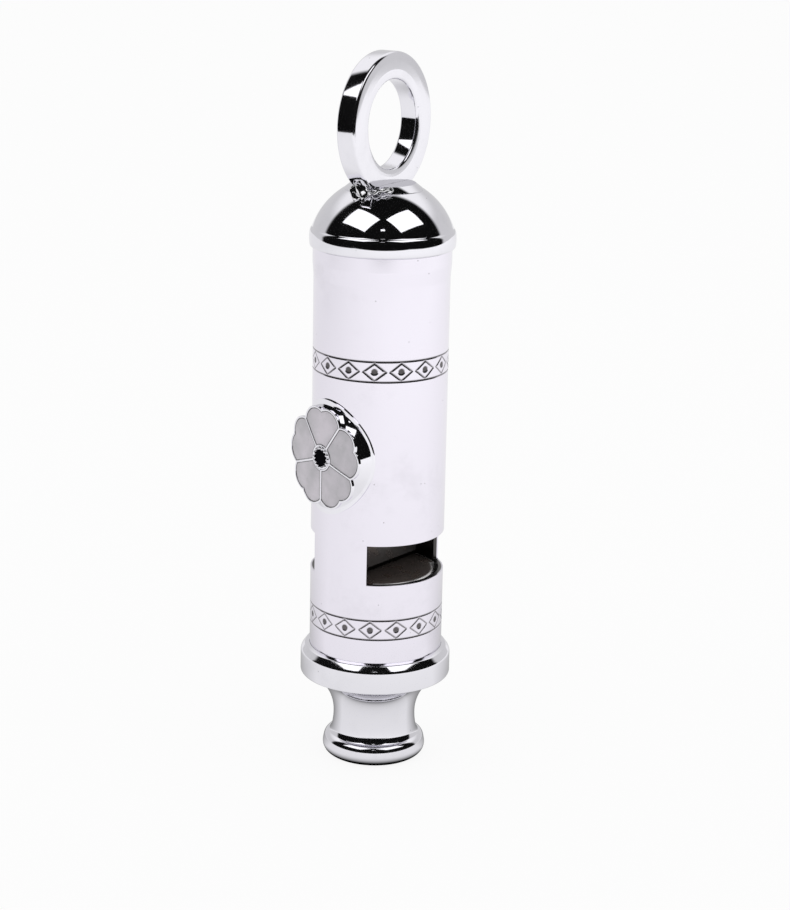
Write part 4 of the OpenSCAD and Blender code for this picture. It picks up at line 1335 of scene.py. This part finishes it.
def flat_sheet(name, corners, material):
    """A stage sheet of one face through these corners."""
    mesh = bpy.data.meshes.new(name)
    mesh.from_pydata([tuple(c) for c in corners], [], [tuple(range(len(corners)))])
    mesh.materials.append(material)
    sheet = bpy.data.objects.new(name, mesh)
    bpy.context.scene.collection.objects.link(sheet)
    return sheet


class WHISTLE_OT_set_stage(bpy.types.Operator):
    """Camera, floor, table, lamp panels and surroundings"""

    bl_idname = "whistle.set_stage"
    bl_label = "Set Stage"

    def directions(self, studio):
        """Unit vectors over the floor: from the axis to the camera, and to the camera's right."""
        a = studio.camera_turn
        return np.array([math.sin(a), -math.cos(a), 0]), np.array([math.cos(a), math.sin(a), 0])

    def camera(self, context, studio):
        """Stands on the camera's side at its distance and height; its axes are worked out from the
        aim, the pitch and the roll, in that order."""
        front, side = self.directions(studio)
        aim, pitch, roll = studio.camera_yaw, studio.camera_pitch, studio.camera_roll
        right = math.cos(aim) * side + math.sin(aim) * front
        ahead = math.sin(aim) * side - math.cos(aim) * front
        up = math.sin(pitch) * ahead + math.cos(pitch) * UP
        look = math.cos(pitch) * ahead - math.sin(pitch) * UP
        rolled_right = math.cos(roll) * right + math.sin(roll) * up
        rolled_up = math.cos(roll) * up - math.sin(roll) * right
        place = studio.camera_out * front + studio.camera_up * UP
        data = bpy.data.cameras.new("studio_camera")
        data.angle = studio.camera_angle
        data.clip_start = 0.01
        data.clip_end = 10
        camera = bpy.data.objects.new("studio_camera", data)
        context.scene.collection.objects.link(camera)
        axes = np.column_stack([rolled_right, rolled_up, -look, place])
        camera.matrix_world = Matrix([*axes.tolist(), (0, 0, 0, 1)])
        context.scene.camera = camera

    def floor(self):
        """Pale floor for the camera, which keeps the soft shadow; metal sees the table instead."""
        reach = 3
        plain_share = 0.9
        material, tree = new_material("pale_floor")
        seen = node(tree, "LightPath").outputs["Is Camera Ray"]
        put_on_surface(tree, "MixShader", {
            0: calculate(tree, "MULTIPLY", seen, plain_share),
            1: node(tree, "BsdfDiffuse", {"Color": (0.9, 0.9, 0.9, 1)}).outputs[0],
            2: node(tree, "Emission", {"Color": WHITE, "Strength": 1.0}).outputs[0],
        })
        corners = [(-reach, -reach, 0), (reach, -reach, 0), (reach, reach, 0), (-reach, reach, 0)]
        flat_sheet("floor", corners, material).visible_glossy = False

    def table(self, studio):
        """White table as the metal sees it: a little brighter to the right and in front. The whistle
        shades it at its foot, as (foot radius / distance)^6, and round about as a share over
        1 + (distance / reach)^2, which grows towards straight behind, where its shadow falls."""
        dim, bright, across = 0.88, 1.08, 0.2
        foot_r, shadow_reach = 5.6 * MM, 40 * MM
        all_round, behind_more = 0.14, 0.8
        front, side = self.directions(studio)
        material, tree = new_material("table_in_metal")
        place = node(tree, "TexCoord").outputs["Object"]
        near = node(tree, "VectorMath", {0: place}, operation="LENGTH").outputs["Value"]
        heading = node(tree, "VectorMath", {0: place}, operation="NORMALIZE").outputs[0]
        brighter_way = 0.7 * front + 0.7 * side
        slope = {0: dot_product(tree, place, brighter_way), 1: -across, 2: across, 3: dim, 4: bright}
        slope = node(tree, "MapRange", slope).outputs[0]
        contact = calculate(tree, "POWER", calculate(tree, "DIVIDE", foot_r, near), 6.0)
        away = calculate(tree, "DIVIDE", near, shadow_reach)
        fall = calculate(tree, "DIVIDE", 1.0, calculate(tree, "MULTIPLY_ADD", away, away, 1.0))
        behind = calculate(tree, "MAXIMUM", dot_product(tree, heading, -front), 0.0)
        cast_share = calculate(tree, "MULTIPLY_ADD", behind, behind_more, all_round)
        lost = calculate(tree, "ADD", contact, calculate(tree, "MULTIPLY", cast_share, fall))
        open_share = calculate(tree, "SUBTRACT", 1.0, lost, clamp=True)
        glow = calculate(tree, "MULTIPLY", slope, open_share)
        put_on_surface(tree, "Emission", {"Color": WHITE, "Strength": glow})
        far = -1.5
        under_floor = -0.02 * MM * UP
        places = [(studio.table_front, studio.table_side), (-studio.table_back, studio.table_wide),
                  (far, studio.table_wide)]
        places += [(f, -s) for f, s in reversed(places)]
        corners = [f * front + s * side + under_floor for f, s in places]
        only_seen_in_metal(flat_sheet("table_in_metal", corners, material))

    def lamps(self, studio):
        """Two square lamp panels overhead, one each side of the camera, and a small one between
        them. Each has its corners at these places over the floor, to the side and to the front, as
        shares of its height."""
        square = [(0.08, 0.55), (0.7, 1.03), (1.3, 0.1), (0.54, 0.03)]
        near, far, half_w = 1.06, 0.96, 0.07
        small = [(-half_w, near), (half_w, near), (half_w, far), (-half_w, far)]
        front, side = self.directions(studio)
        material, tree = new_material("lamp_panel")
        put_on_surface(tree, "Emission", {"Color": WHITE, "Strength": 1.35})
        panels = [("lamp_left", -1, square), ("lamp_right", 1, square), ("lamp_small", 1, small)]
        for name, hand, places in panels:
            corners = [studio.lamp_z * (hand * s * side + f * front + UP) for s, f in places]
            flat_sheet(name, corners, material).visible_camera = False

    def surroundings(self, context, studio):
        """What lies beyond the table. Metal sees a dark room on the camera's side and a pale wall on
        the far side, brighter higher up; the camera sees white, and matt surfaces an even light."""
        dark_room = 0.004
        even_light = 0.8
        front, _ = self.directions(studio)
        world = bpy.data.worlds.new("studio")
        context.scene.world = world
        world.use_nodes = True
        tree = world.node_tree
        tree.nodes.clear()
        place = node(tree, "TexCoord").outputs["Generated"]
        seen = node(tree, "LightPath").outputs
        height = node(tree, "SeparateXYZ", {0: place}).outputs[2]
        on_this_side = soft_step(tree, dot_product(tree, place, front), -0.36, -0.24)
        wall = soft_step(tree, height, 0.38, 0.7, low=0.66, high=1.0)
        in_metal = calculate(tree, "MULTIPLY", wall, calculate(tree, "SUBTRACT", 1.0, on_this_side))
        in_metal = calculate(tree, "ADD", in_metal, dark_room)
        level = {"Factor": seen["Is Camera Ray"], "A": even_light, "B": 1.0}
        level = node(tree, "Mix", level, data_type="FLOAT").outputs["Result"]
        level = {"Factor": seen["Is Glossy Ray"], "A": level, "B": in_metal}
        level = node(tree, "Mix", level, data_type="FLOAT").outputs["Result"]
        glow = node(tree, "Background", {"Color": WHITE, "Strength": level})
        node(tree, "OutputWorld", {"Surface": glow.outputs[0]})

    def execute(self, context):
        studio = context.scene.whistle_studio
        self.camera(context, studio)
        self.floor()
        self.table(studio)
        self.lamps(studio)
        self.surroundings(context, studio)
        context.scene.view_settings.view_transform = "Standard"
        return {"FINISHED"}


# Sidebar and registration


class WHISTLE_PT_pieces(bpy.types.Panel):
    """Pieces of the whistle, and the sizes and colours that they are made with"""

    bl_label = "Round Whistle"
    bl_idname = "WHISTLE_PT_pieces"
    bl_space_type = "VIEW_3D"
    bl_region_type = "UI"
    bl_category = "Whistle"

    def draw(self, context):
        for operator in OPERATORS:
            self.layout.operator(operator.bl_idname)
        for name in GROUPS:
            group = getattr(context.scene, name)
            box = self.layout.box()
            box.label(text=GROUPS[name].__doc__)
            for prop in group.__annotations__:
                box.prop(group, prop)


OPERATORS = (
    WHISTLE_OT_turn_mouthpiece,
    WHISTLE_OT_draw_tube,
    WHISTLE_OT_cut_block,
    WHISTLE_OT_press_cap,
    WHISTLE_OT_form_ring,
    WHISTLE_OT_press_saddle,
    WHISTLE_OT_stamp_flower,
    WHISTLE_OT_fire_enamel,
    WHISTLE_OT_finish_inner,
    WHISTLE_OT_set_stage,
)
GROUPS = {
    "whistle_tube": WhistleTube,
    "whistle_mouth": WhistleMouth,
    "whistle_block": WhistleBlock,
    "whistle_cap": WhistleCap,
    "whistle_ring": WhistleRing,
    "whistle_badge": WhistleBadge,
    "whistle_finish": WhistleFinish,
    "whistle_studio": WhistleStudio,
}


def register():
    for name, group in GROUPS.items():
        bpy.utils.register_class(group)
        setattr(bpy.types.Scene, name, bpy.props.PointerProperty(type=group))
    for operator in OPERATORS:
        bpy.utils.register_class(operator)
    bpy.utils.register_class(WHISTLE_PT_pieces)


def unregister():
    bpy.utils.unregister_class(WHISTLE_PT_pieces)
    for operator in reversed(OPERATORS):
        bpy.utils.unregister_class(operator)
    for name, group in reversed(GROUPS.items()):
        delattr(bpy.types.Scene, name)
        bpy.utils.unregister_class(group)


def main():
    """Builds every piece and the stage."""
    register()
    bpy.ops.whistle.turn_mouthpiece()
    bpy.ops.whistle.draw_tube()
    bpy.ops.whistle.cut_block()
    bpy.ops.whistle.press_cap()
    bpy.ops.whistle.form_ring()
    bpy.ops.whistle.press_saddle()
    bpy.ops.whistle.stamp_flower()
    bpy.ops.whistle.fire_enamel()
    bpy.ops.whistle.finish_inner()
    bpy.ops.whistle.set_stage()


if __name__ == "__main__":
    main()
